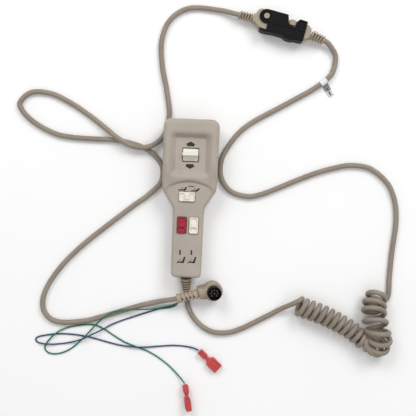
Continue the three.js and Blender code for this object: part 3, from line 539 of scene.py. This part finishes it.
TOP_Y = 79
BOTTOM_Y = -79
SPLIT_Z = 14
FACE_Z = 22
HEAD_Z = 28
SHELL_GAP = 0.3
WALL = 2.2
SHOULDER = [27.2, 8]
GRIP_TOP = [15.6, -10]

# right half of the outline, from the middle of the foot to the middle of the top
CASE_OUTLINE = [
    (0, BOTTOM_Y),
    *arc(10.6, -74.5, 4.5, -90, 0, 6),
    *soft_corner((15.1, -40), GRIP_TOP, SHOULDER, 0.14, 0.14),
    *soft_corner(GRIP_TOP, SHOULDER, (28, 50), 0.14, 0.14),
    *arc(20, 71, 8, 0, 90, 8),
    (0, TOP_Y),
]
BROW_R = 35.4  # arc of the head's lower edge
BROW_CENTRE_Y = -19.6
HEAD_FALL_Y = 34  # below this the rim falls towards the grip
HEAD_FALL_SLOPE = 0.21
BROW_FLARE = 0.12  # how far the brow leans out for each mm of height
HEAD_ROLL = 3.2
CREASE_R = 0.45  # the fine groove along the brow's foot
CREASE_HALF = 18
RECESS_Y = 43.3
CASE_SCREWS = [(18, 64), (8.4, -60)]

# Below their rims the small caps are a little shorter and narrower than the CAD's, and their
# windows are tighter.
SWITCHES = {
    "main": dict(x=0, y=42.6, along=12.5, across=16, axis="x", play=0.8),
    "select": dict(x=-1.9, y=1.2, along=15.2, across=9.6, axis="y", play=0.35),
    "red": dict(x=-5.9, y=-26.9, along=15.6, across=9.1, axis="x", play=0.35),
    "white": dict(x=5.8, y=-26.9, along=15.6, across=9, axis="x", play=0.35),
}
SIDE_PLAY = 0.15
PIVOT_Z = 18.1
CAP_UNDER_Z = 20.2
HUB_R = 2.1
HUB_SHORT_OF_CAP = 4.2  # how much narrower than its cap a hub is
NECK_HALF = 1.2
AXLE_BORE_R = 1.25
SMALL_CAP_TOP_Z = 24.1
OVERHANG_Z = (22.9, 23.2)  # where a small cap widens, just clear of the face
HUMP_TOP_Z = 25.2
PAD_FLOOR_Z = 22.8
PADDLE_TOP_Z = 26.8


def case_edge(x, y):
    """How far outside the case's widest outline a point is, seen from the front."""
    across = np.abs(x)
    edge_x, edge_y = zip(*CASE_OUTLINE[1:-1])
    inside = (across < np.interp(y, edge_y, edge_x)) & (y > BOTTOM_Y) & (y < TOP_Y)
    return to_polyline(across, y, CASE_OUTLINE) * np.where(inside, -1, 1)


def window(x, y, switch):
    half_along = switch["along"] / 2 + switch["play"]
    half_across = switch["across"] / 2 + SIDE_PLAY
    half_x, half_y = (half_across, half_along) if switch["axis"] == "x" else (half_along, half_across)
    return box2(x - switch["x"], y - switch["y"], half_x, half_y, 0.9)


def front_shell(x, y, z):
    edge = case_edge(x, y)
    from_brow = np.hypot(x, np.maximum(y - BROW_CENTRE_Y, 0))
    brow = BROW_R - from_brow + BROW_FLARE * (z - FACE_Z)
    rim_z = HEAD_Z - HEAD_FALL_SLOPE * np.maximum(HEAD_FALL_Y - y, 0)
    head = round_and(z - rim_z, brow, HEAD_ROLL)
    top = round_or(z - FACE_Z, head, 0.2 + 5 * smoothstep(17, 27, np.abs(x)))
    crease = np.hypot(brow, z - FACE_Z) - CREASE_R
    top = round_cut(top, np.maximum(crease, np.abs(x) - CREASE_HALF), 0.25)
    rim = 2.4 + 1.8 * smoothstep(4, 20, y)
    body = round_and(edge + 0.09 * (z - SPLIT_Z), top, rim)

    grow = np.clip((z - FACE_Z) / (HEAD_Z - FACE_Z), -0.2, 1.3)
    walls = box2(x, y - RECESS_Y + 3 * grow, 14.7 + 6.7 * grow, 16.5 + 7.2 * grow, 2.2 + 3.6 * grow)
    recess = round_and(0.72 * walls, FACE_Z - z, 0.3)
    body = round_cut(body, recess, 2)

    for switch in SWITCHES.values():
        body = round_cut(body, window(x, y, switch), 0.4)
    hollow = round_and(edge + WALL + 0.4, z - FACE_Z + WALL, 1)
    body = np.maximum(body, -hollow)
    return round_and(body, SPLIT_Z + SHELL_GAP - z, 0.4)


def rear_shell(x, y, z):
    slope = 0.27 + 0.28 * smoothstep(-10, 8, y)
    side = 0.9 * (case_edge(x, y) + slope * (SPLIT_Z - z))
    body = round_and(round_and(side, -z, 2.5), z - SPLIT_Z, 0.4)
    body = np.maximum(body, -round_and(side + WALL, WALL - z, 2))
    cord_hole = np.maximum(np.hypot(x, z - 9.5) - 4.2, y + 70)
    body = np.maximum(body, -cord_hole)
    for screw_x, screw_y in CASE_SCREWS:
        seat = np.maximum(np.hypot(np.abs(x) - screw_x, y - screw_y) - 3.1, z - 2.4)
        body = round_cut(body, seat, 0.4)
    return body


net_piece("front_case", front_shell, (-28, -79, 14.3), (28, 79, 28), 0.55,
          HOUSING, ["front_shell"])
net_piece("rear_case", rear_shell, (-28, -79, 0), (28, 79, 14), 0.8,
          HOUSING, ["rear_shell"])

# ---------------------------------------------------------------- rockers


def on_switch(switch, x, y):
    """Where a point is along and across a switch."""
    dx, dy = x - switch["x"], y - switch["y"]
    return (dy, dx) if switch["axis"] == "x" else (dx, dy)


def hub(switch, u, v, z):
    """The rocker's hub and neck, under its cap."""
    half = (switch["across"] - HUB_SHORT_OF_CAP) / 2
    barrel = np.hypot(u, z - PIVOT_Z) - HUB_R
    neck = np.maximum(np.abs(u) - NECK_HALF, slab(z, PIVOT_Z, CAP_UNDER_Z + 1))
    return np.maximum(np.minimum(barrel, neck), np.abs(v) - half)


def axle_bore(u, z):
    return np.hypot(u, z - PIVOT_Z) - AXLE_BORE_R


def small_cap(switch):
    half_along, half_across = switch["along"] / 2, switch["across"] / 2

    def field(x, y, z):
        u, v = on_switch(switch, x, y)
        waist = 0.35 * np.clip(1 - (u / half_along) ** 2, 0, 1)
        over = smoothstep(*OVERHANG_Z, z)
        along, across = half_along - 0.1 + 0.5 * over, half_across - 0.1 + 0.35 * over
        plan = box2(u, v, along, across - waist, 2)
        cap = round_and(plan, slab(z, CAP_UNDER_Z, SMALL_CAP_TOP_Z), 1.1)
        pad = box2(np.abs(u) - 4.9, v, 2.1, half_across - 1.4, 0.9)
        pad = round_and(pad, PAD_FLOOR_Z - z, 0.4)
        cap = round_cut(cap, pad, 0.4)
        drop = HUMP_TOP_Z - z
        ends, flanks = np.abs(u) - 1.8 - 0.5 * drop, np.abs(v) - half_across + 2.2 - 0.4 * drop
        hump = round_and(round_and(0.8 * ends, 0.9 * flanks, 0.5), slab(z, 21, HUMP_TOP_Z), 0.5)
        cap = round_or(cap, hump, 0.3)
        return round_cut(np.minimum(cap, hub(switch, u, v, z)), axle_bore(u, z), 0.1)

    return field


def main_cap(x, y, z):
    switch = SWITCHES["main"]
    u, v = on_switch(switch, x, y)
    far_half = smoothstep(-1.6, 0.4, u)
    crown = (22.6 - 0.12 * u) * far_half + (22.1 + 0.45 * u) * (1 - far_half)
    under = CAP_UNDER_Z - 2.6 * smoothstep(2.9, 5.5, -u)
    cap = round_and(box2(u, v, 6.2, 7.6, 0.8), np.maximum(under - z, z - crown), 0.3)
    thick = 1.5 + 0.12 * np.clip(PADDLE_TOP_Z - z, 0, 4)
    fin = round_and(box2(u - 0.5, v + 0.2, thick, 7.8, 0.6), slab(z, 21, PADDLE_TOP_Z), 0.7)
    cap = round_or(cap, fin, 0.5)
    return round_cut(np.minimum(cap, hub(switch, u, v, z)), axle_bore(u, z), 0.1)


def rocker_piece(name, field, material):
    switch = SWITCHES[name]
    half = np.array([switch["across"], switch["along"]]) / 2 + 0.4
    half_x, half_y = half if switch["axis"] == "x" else half[::-1]
    low = (switch["x"] - half_x, switch["y"] - half_y, 15.8)
    high = (switch["x"] + half_x, switch["y"] + half_y, 27)
    net_piece(f"{name}_cap", field, low, high, 0.28, material, [f"{name}_rocker"],
              body=f"{name}_rocker")


rocker_piece("main", main_cap, CAP)
rocker_piece("select", small_cap(SWITCHES["select"]), CAP)
rocker_piece("red", small_cap(SWITCHES["red"]), RED_CAP)
rocker_piece("white", small_cap(SWITCHES["white"]), CAP)

# ---------------------------------------------------------------- printed marks

LEGEND_LOW = 21.9
LEGEND_HIGH = 22.05


def stroke(start, end, width_start, width_end=None):
    """A straight stroke's four corners."""
    start, end = Vector(start), Vector(end)
    across = (end - start).normalized().orthogonal()
    half_start = across * width_start / 2
    half_end = across * (width_end or width_start) / 2
    return [start + half_start, end + half_end, end - half_end, start - half_start]


def moved(points, x, y, mirror=1):
    return [(x + px, y + mirror * py) for px, py in points]


ARROW = [(0, 2.5), (5.2, -0.4), (3.8, -0.5), (3.6, -2.3), (-3.6, -2.3), (-3.8, -0.5), (-5.2, -0.4)]
CHAIR = [
    stroke((-3.2, -2.2), (2, -2.6), 1.3, 1.6),
    stroke((1.6, -3.1), (3.6, 2.9), 2.1, 1.5),
    stroke((-4.1, -3.7), (-3, -2.2), 0.8),
    stroke((-2.2, -0.6), (0.2, 0.3), 0.35),
]
LOW_CHAIR = [
    stroke((-4.3, -1.2), (2.4, -1.2), 0.9, 1.4),
    stroke((2, -1.9), (3.9, 1.9), 2, 1.5),
    stroke((-1.5, -0.3), (0.8, 1.5), 0.45),
]
TIPPED_CHAIR = [
    stroke((-4.1, -1.6), (1.2, -1.7), 0.9, 1.3),
    stroke((0.8, -2), (4.2, 0.9), 2.1, 1.4),
    stroke((-1.7, -0.5), (0.4, 0.7), 0.45),
]


def make_legend():
    marks = [moved(ARROW, -0.3, 53.4), moved(ARROW, -0.2, 31.3, mirror=-1)[::-1]]
    marks += [moved(mark, -5.2, -61) for mark in CHAIR]
    marks += [moved(mark, 5.6, -60.7) for mark in CHAIR]
    marks += [moved(mark, -6.7, 9) for mark in LOW_CHAIR]
    marks += [moved(mark, 6, 9) for mark in TIPPED_CHAIR]
    marks.append(stroke((-0.9, 11.7), (5, 11.4), 0.8))
    marks.append(stroke((-6.4, -56.2), (-6.7, -51.4), 1.5))
    marks.append(stroke((4.9, -56), (4.6, -51.2), 1.5))
    points, faces = [], []
    for mark in marks:
        first, count = len(points), len(mark)
        for z in (LEGEND_LOW, LEGEND_HIGH):
            points += [(x * MM, y * MM, z * MM) for x, y in mark]
        low, high = range(first, first + count), range(first + count, first + 2 * count)
        faces += [list(low), list(high)[::-1]]
        faces += [(low[i - 1], low[i], high[i], high[i - 1]) for i in range(count)]
    mesh = bpy.data.meshes.new("legend")
    mesh.from_pydata(points, [], faces)
    mesh.materials.append(LEGEND)
    legend = bpy.data.objects.new("legend", mesh)
    bpy.context.scene.collection.objects.link(legend)
    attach(legend, BODY)


make_legend()

# ---------------------------------------------------------------- strain reliefs

LINK_PLACE = Matrix.Translation((86.4, 175.9, 0)) @ Matrix.Rotation(math.radians(-13), 4, "Z")


def taper(z, length, radius_start, radius_end):
    return radius_start + (radius_end - radius_start) * z / length


def case_boot(length):
    def field(x, y, z):
        radius = taper(z, length, 5.7, 3.6)
        body = round_and(np.hypot(x, y) - radius, slab(z, 0, length), 0.6)
        for middle in (3.4, 6.2, 9, 11.8):
            groove = np.maximum(np.abs(z - middle) - 0.7, radius - 2.7 - np.hypot(x, y))
            groove = np.maximum(groove, np.abs(x) - 0.8 * radius)
            body = round_cut(body, groove, 0.3)
        return body

    return field


def ringed_boot(length, radius_start, radius_end, rings):
    """Leaning rings on a thinner core, with slots between them along the middle."""
    pitch = length / rings

    def field(x, y, z):
        radius = taper(z, length, radius_start, radius_end)
        away = np.hypot(x, y)
        leaning = z - 0.16 * x
        from_ring = np.abs(np.mod(leaning, pitch) - pitch / 2)
        from_gap = pitch / 2 - from_ring
        core = away - 0.72 * radius
        body = round_or(core, round_and(away - radius, from_ring - 0.6, 0.35), 0.3)
        slot = np.maximum(np.maximum(from_gap - 0.6, np.abs(x) - 0.44 * radius), 0.5 - np.abs(y))
        slot = np.maximum(slot, slab(leaning, 0.6 * pitch, length - 0.6 * pitch))
        body = round_cut(body, slot, 0.25)
        return round_and(body, slab(z, 0, length), 0.4)

    return field


def plug_boot_field(length):
    def field(x, y, z):
        radius = taper(z, length, 5, 4.9)
        away = np.hypot(x, y)
        body = away - radius + 0.3 * (1 - smoothstep(length - 4.6, length - 4.2, z))
        leaning = z + 0.3 * x
        for back in (5.1, 9.3, 13.1, 16.9):
            groove = np.abs(leaning - length + back) - 0.5
            shallow = np.maximum(groove, radius - 1.2 - away)
            deep = np.maximum(np.maximum(groove - 0.2, slab(x, 0.4, 4.4)), -2 - y)
            body = round_cut(body, np.minimum(shallow, deep), 0.35)
        return round_and(body, slab(z, 0, length), 0.7)

    return field


def boot_piece(name, start, end, make_field, radius, replaces, step=0.3):
    length = math.dist(start, end)
    net_piece(name, make_field(length), (-radius, -radius, 0), (radius, radius, length), step,
              BOOT, [replaces], place=along(start, end))


def link_boot(name, start, end, radius_start, radius_end, replaces):
    start, end = LINK_PLACE @ Vector(start), LINK_PLACE @ Vector(end)
    boot_piece(name, start, end, lambda length: ringed_boot(length, radius_start, radius_end, 5),
               radius_start, replaces)


PLUG_BOOT_ROOT = (12.6, -95.2, 11.3)
PLUG_BOOT_END = (-8.4, -100.7, 11.8)
boot_piece("case_relief", (0, -79.3, 9.5), (0.8, -93.6, 4), case_boot, 5.8, "handset_boot")
boot_piece("round_plug_relief", PLUG_BOOT_ROOT, PLUG_BOOT_END, plug_boot_field, 5.6, "din_boot")
link_boot("socket_relief", (-30.8, 0.2, 7.6), (-45, -0.1, 7.3), 4.8, 4.5, "socket_boot")
link_boot("link_plug_relief", (30.2, -0.6, 7.6), (44.6, -2.7, 7.1), 5.3, 4.6, "plug_boot")

# ---------------------------------------------------------------- inline connector

LINK_LOW = 1.9
LINK_HIGH = 13.3
PIN_U = -17.7
PIN_V = 4.5
CLIP_LOW = 0.2
CLIP_HIGH = 15.2

SOCKET_OUTLINE = softened([
    (-30.4, 4.2), (-30.4, -4.2), *arc(PIN_U, PIN_V, 13.1, 218, 262, 6), (5, -8.7), (5, 8),
    (-12, 8.6), (-18, 11), (-23.4, 11.2), (-26.6, 9.8), (-28.2, 7), (-28.6, 4.6),
], 1)
PLUG_OUTLINE = softened([
    (5.3, -8.2), (24, -8.2), (25.6, -7.4), (29.2, -5), (29.2, 4), (25.6, 6.9), (24, 7.4), (5.3, 7.4),
], 1)
CLIP_OUTLINE = softened([
    (-15, -10), (23.4, -10), (23.4, 9.8), (15.5, 10.2), (12.8, 7), (12.8, 3.2), (11.5, 1.2),
    (5.3, 2.8), (3, 11.6), *arc(PIN_U, PIN_V, 7.2, 90, 290, 14),
], 0.7)
WALL_OUTLINE = softened([
    (-22, -8.6), (-22, -10), (-19.5, -10.9), (-15, -11), (-9.9, -10.5), (-1, -10.2), (3, -10.5),
    (5, -12), (8.4, -12.4), (11.5, -12.4), (14.3, -11.3), (21.4, -11), (23.4, -10), (23.4, -8.6),
], 0.9)


def to_pin(x, y):
    return np.hypot(x - PIN_U, y - PIN_V)


def half_shell_seam(body, z, height):
    """A body with a fine groove round it where its two halves meet."""
    return round_cut(body, np.maximum(np.abs(z - height) - 0.15, -0.4 - body), 0.1)


def link_socket(x, y, z):
    body = round_and(polygon(x, y, SOCKET_OUTLINE), slab(z, LINK_LOW, LINK_HIGH), 1.1)
    body = half_shell_seam(body, z, 7.6)
    return round_cut(body, to_pin(x, y) - 2, 0.2)


def link_plug(x, y, z):
    body = round_and(polygon(x, y, PLUG_OUTLINE), slab(z, LINK_LOW, LINK_HIGH), 1.1)
    body = half_shell_seam(body, z, 7.6)
    lug = round_and(box2(x - 9.1, y - 5.2, 3.2, 2.8, 1.4), slab(z, 11, 14.9), 0.7)
    return round_or(body, lug, 0.4)


def lock_clip(x, y, z):
    plan = np.minimum(polygon(x, y, CLIP_OUTLINE), polygon(x, y, WALL_OUTLINE))
    body = round_and(plan, slab(z, CLIP_LOW, CLIP_HIGH), 0.7)
    channel = round_and(slab(z, CLIP_LOW + 1.4, CLIP_HIGH - 1.4), -9.3 - y, 0.4)
    body = round_cut(body, channel, 0.3)
    from_pin = to_pin(x, y)
    dish = round_and(from_pin - 4.6, CLIP_HIGH - 0.5 - z, 0.2)
    body = round_cut(body, dish, 0.25)
    step = round_and(box2(x - 4, y + 5.4, 21, 4.2, 0.8), CLIP_HIGH - 0.35 - z, 0.2)
    body = round_cut(body, step, 0.2)
    thumb = round_and(box2(x - 18.2, y - 4.4, 3.4, 4, 0.8), CLIP_HIGH - 0.35 - z, 0.2)
    body = round_cut(body, thumb, 0.2)
    return round_cut(body, from_pin - 2.15, 0.2)


def link_pin(x, y, z):
    from_pin = to_pin(x, y)
    head = round_and(from_pin - 2.8, slab(z, CLIP_HIGH + 0.2, CLIP_HIGH + 1.3), 0.45)
    dimple = np.sqrt(from_pin**2 + (z - CLIP_HIGH - 2.1) ** 2) - 1.4
    head = round_cut(head, dimple, 0.2)
    return round_or(head, np.maximum(from_pin - 1.7, slab(z, CLIP_LOW + 0.1, CLIP_HIGH + 0.8)), 0.2)


net_piece("link_socket", link_socket, (-31, -9, 1.9), (5.2, 11.4, 13.3), 0.4,
          BOOT, ["socket_body"], place=LINK_PLACE)
net_piece("link_plug", link_plug, (5, -8.4, 1.9), (29.4, 8.6, 15), 0.4,
          BOOT, ["plug_body"], place=LINK_PLACE)
net_piece("link_clip", lock_clip, (-25, -13.8, 0.2), (23.6, 12, 15.2), 0.35,
          CLIP, ["lock_clip"], place=LINK_PLACE, body="lock_clip")
net_piece("link_pin", link_pin, (-20.6, 1.6, 0.2), (-14.8, 7.4, 16.6), 0.25,
          BOOT, ["clip_pin"], place=LINK_PLACE)

# ---------------------------------------------------------------- cord tag

TAG_PLACE = Matrix.Translation((130.4, 122.5, 3.7)) @ Matrix.Rotation(math.radians(40), 4, "Z")
FLAG_PLACE = TAG_PLACE @ Matrix.Rotation(math.radians(-9), 4, "Z")


def tag_band(x, y, z):
    tube = np.abs(np.hypot(y, z) - 2.95) - 0.2
    return round_and(tube, np.abs(x) - 3.6, 0.1)


def tag_film(x, y, z, low, high, half_width, half_thick):
    """A strip of film that hangs from the band and sags to the floor."""
    sag = 0.2 * np.sin(0.5 * x) + 0.07 * (y + 3)
    strip = box2(x - 0.6, y - (low + high) / 2, half_width, (high - low) / 2, 0.6)
    return round_and(strip, np.abs(z + 2.1 - sag) - half_thick, 0.1)


def tag_flag(x, y, z):
    return tag_film(x, y, z, -10, -2.2, 2.9, 0.3)


def tag_tail(x, y, z):
    return tag_film(x, y, z, -16.4, -9, 2.8, 0.22)


def tag_mark(x, y, z):
    film = tag_film(x, y, z - 0.2, -15, -7.2, 0.6, 0.25)
    return np.maximum(film, 0.5 - np.abs(y + 10.4))


net_piece("tag_loop", tag_band, (-3.7, -3.2, -3.2), (3.7, 3.2, 3.2), 0.16,
          TAG_WHITE, ["tag_band"], place=TAG_PLACE)
net_piece("tag_leaf", tag_flag, (-2.5, -10.1, -3.6), (3.7, -2, -1.4), 0.18,
          TAG_GREY, ["tag_flag"], place=FLAG_PLACE)
net_piece("tag_tail", tag_tail, (-2.5, -16.6, -3.6), (3.6, -8.8, -1.4), 0.18,
          TAG_CLEAR, [], place=FLAG_PLACE)
net_piece("tag_mark", tag_mark, (-0.2, -15.2, -3.4), (1.4, -7, -1.2), 0.18,
          TAG_BLACK, [], place=FLAG_PLACE)

# ---------------------------------------------------------------- round plug

PLUG_AT = Vector((26.5, -90.9, 2.3))
PLUG_AXIS = Vector((0.15, -0.145, 1)).normalized()
PLUG_PLACE = (
    Matrix.Translation(PLUG_AT)
    @ Vector((0, 0, 1)).rotation_difference(PLUG_AXIS).to_matrix().to_4x4()
)
FITTING_Z = 11.8
CUP_R = 9.5
HOOD_ROOT = PLUG_PLACE.inverted() @ Vector(PLUG_BOOT_ROOT)
HOOD_AHEAD = PLUG_PLACE.to_3x3().inverted() @ (Vector(PLUG_BOOT_END) - Vector(PLUG_BOOT_ROOT)).normalized()
HOOD_SQUASH = 1.25
CONTACTS = [(0, 0), *arc(0, 0, 3.5, -45, 225, 6)]


def round_plug(x, y, z):
    away = np.hypot(x, y)
    cup = round_and(away - CUP_R, slab(z, 0, 11.5), 1.1)
    root = (HOOD_ROOT.x, HOOD_ROOT.y + 1.6, (HOOD_ROOT.z - 0.7) * HOOD_SQUASH)
    hood = rod(x, y, z * HOOD_SQUASH, root, (0, 0, 6.2 * HOOD_SQUASH), 7, 8.8) / HOOD_SQUASH
    past_root = (x - HOOD_ROOT.x) * HOOD_AHEAD.x + (y - HOOD_ROOT.y) * HOOD_AHEAD.y
    hood = round_and(hood, past_root - 0.2, 3.2)
    tick = np.abs(np.mod(past_root, 1.5) - 0.75) - 0.3
    tick = np.maximum(np.maximum(tick, 3.2 - y), slab(past_root, -11.5, -2))
    hood = round_cut(hood, np.maximum(tick, -0.9 - hood), 0.2)
    body = round_or(cup, hood, 0.5)
    for ring_z in (7.4, 9.6):
        body = round_cut(body, np.maximum(np.abs(z - ring_z) - 0.35, CUP_R - 0.9 - away), 0.15)
    return np.maximum(body, -z)


def round_plug_shell(x, y, z):
    away = np.hypot(x, y)
    tube = round_and(np.abs(away - 6.5) - 0.4, slab(z, FITTING_Z, 19.5), 0.3)
    key = round_and(box2(x, y + 5.9, 1.1, 0.6, 0.3), slab(z, FITTING_Z, 18), 0.3)
    return round_or(tube, key, 0.2)


def round_plug_insert(x, y, z):
    disc = round_and(np.hypot(x, y) - 5.8, slab(z, FITTING_Z, FITTING_Z + 2.3), 0.3)
    for spot_x, spot_y in CONTACTS:
        disc = round_cut(disc, np.hypot(x - spot_x, y - spot_y) - 0.8, 0.12)
    return disc


def round_plug_contacts(x, y, z):
    nearest = np.inf
    for spot_x, spot_y in CONTACTS:
        nearest = np.minimum(nearest, np.hypot(x - spot_x, y - spot_y))
    return round_and(nearest - 0.55, slab(z, FITTING_Z, FITTING_Z + 6.1), 0.35)


net_piece("round_plug", round_plug, (-17, -10, 0), (9.6, 9.6, 14.5), 0.35,
          BOOT, ["din_body"], place=PLUG_PLACE)
net_piece("round_plug_shell", round_plug_shell, (-7, -7, 11.8), (7, 7, 19.5), 0.25,
          CLIP, ["din_shell"], place=PLUG_PLACE)
net_piece("round_plug_insert", round_plug_insert, (-5.9, -5.9, 11.8), (5.9, 5.9, 14.1), 0.2,
          CLIP, ["din_insert"], place=PLUG_PLACE)
net_piece("round_plug_contacts", round_plug_contacts, (-4.2, -4.2, 11.8), (4.2, 4.2, 17.9), 0.2,
          NICKEL, [f"din_pin_{i}" for i in range(1, 9)], place=PLUG_PLACE)

# ---------------------------------------------------------------- push-on terminals

TERMINAL_OUTLINE = softened([
    (0, -2.9), (8, -2.9), (9.2, -1.9), (11.8, -1.9), (14.4, -5.2), (26.2, -5.2),
    (26.2, 5.2), (14.4, 5.2), (11.8, 1.9), (9.2, 1.9), (8, 2.9), (0, 2.9),
], 0.5)


def terminal_sleeve(x, y, z):
    """A sleeve in three steps, with the crimp's seam along its barrel and a raised panel."""
    waist = smoothstep(7.6, 9.4, x) * (1 - smoothstep(11.8, 14.4, x))
    body = round_and(polygon(x, y, TERMINAL_OUTLINE), np.abs(z) - 2.7 + 0.9 * waist, 0.7)
    seam = np.maximum(np.abs(y) - 0.3, np.maximum(2.2 - np.abs(z), slab(x, 0.8, 8)))
    body = round_cut(body, seam, 0.25)
    panel = np.maximum(box2(x - 20.2, y, 4.4, 3.6, 0.8), 2.4 - np.abs(z))
    body = round_cut(body, panel, 0.25)
    boss = round_and(box2(x - 20.2, y, 2.2, 1.2, 0.6), np.abs(z) - 2.7, 0.3)
    body = round_or(body, boss, 0.3)
    mouth = round_and(box2(x - 24.2, y, 10, 4.2, 0.5), np.abs(z) - 1.3, 0.4)
    body = round_cut(body, mouth, 0.25)
    throat = np.hypot(y, z) - 1.5 + 2 * smoothstep(5, 6, x)
    return round_cut(body, throat, 0.25)


def terminal_blade(x, y, z):
    return round_and(box2(x - 20.2, y, 5.2, 3.9, 0.6), np.abs(z) - 0.4, 0.2)


def make_terminal(name, place, turn, roll):
    place = (
        Matrix.Translation(place)
        @ Matrix.Rotation(math.radians(turn), 4, "Z")
        @ Matrix.Rotation(math.radians(roll), 4, "X")
    )
    net_piece(f"{name}_sleeve", terminal_sleeve, (0, -5.3, -2.8), (26.3, 5.3, 2.8), 0.3,
              SLEEVE, [f"{name}_terminal_sleeve"], place=place)
    net_piece(f"{name}_blade", terminal_blade, (14.8, -4, -0.4), (25.5, 4, 0.4), 0.2,
              BRASS, [f"{name}_terminal_blade"], place=place)


make_terminal("blue", (16.6, -153.5, 3), -41.6, 0)
make_terminal("green", (3.4, -187.4, 5.8), -79.7, 80)

# ---------------------------------------------------------------- CAD nodes that stay

SLOT_MATERIALS = {
    "shell_plastic": HOUSING,
    "beige_plastic": BOOT,
    "cord_jacket": JACKET,
    "black_plastic": CLIP,
    "white_plastic": CAP,
    "red_plastic": RED_CAP,
    "terminal_sleeve": SLEEVE,
    "green_pvc": GREEN,
    "blue_pvc": BLUE,
    "steel": STEEL,
    "brass": BRASS,
    "board": BOARD,
    "tag_white": TAG_WHITE,
    "tag_clear": TAG_GREY,
}
for part in frame["record"]["subparts"]:
    mesh = frame["nodes"][part["node"]].data
    mesh.materials.clear()
    mesh.materials.append(SLOT_MATERIALS[part["material_slot"]])

# ---------------------------------------------------------------- floor and light

FLOOR_HALF = 3.0


def make_floor():
    mesh = bpy.data.meshes.new("floor")
    corners = [(-1, -1), (1, -1), (1, 1), (-1, 1)]
    mesh.from_pydata([(x * FLOOR_HALF, y * FLOOR_HALF, 0) for x, y in corners], [], [(0, 1, 2, 3)])
    floor = bpy.data.objects.new("floor", mesh)
    bpy.context.scene.collection.objects.link(floor)
    mesh.materials.append(moulded("floor_paper", (246, 246, 246), (244, 244, 244), 0.9, patch=3.0))


def area_light(name, place, size, power):
    data = bpy.data.lights.new(name, "AREA")
    data.shape = "DISK"
    data.size = size
    data.energy = power
    light = bpy.data.objects.new(name, data)
    light.location = place
    towards = Vector((0, 0, 0)) - Vector(place)
    light.rotation_euler = towards.to_track_quat("-Z", "Y").to_euler()
    bpy.context.scene.collection.objects.link(light)


WORLD_STRENGTH = 0.52


def make_lights():
    area_light("left key", (-0.8, 1.2, 1.5), 1.0, 13)
    area_light("right key", (0.9, 1.2, 1.5), 1.0, 17)
    area_light("fill", (0.3, -0.7, 2.0), 2.0, 6)
    world = bpy.data.worlds.new("studio")
    world.use_nodes = True
    background = world.node_tree.nodes["Background"]
    background.inputs["Color"].default_value = (1, 1, 1, 1)
    background.inputs["Strength"].default_value = WORLD_STRENGTH
    bpy.context.scene.world = world
    bpy.context.scene.view_settings.view_transform = "Standard"


make_floor()
make_lights()
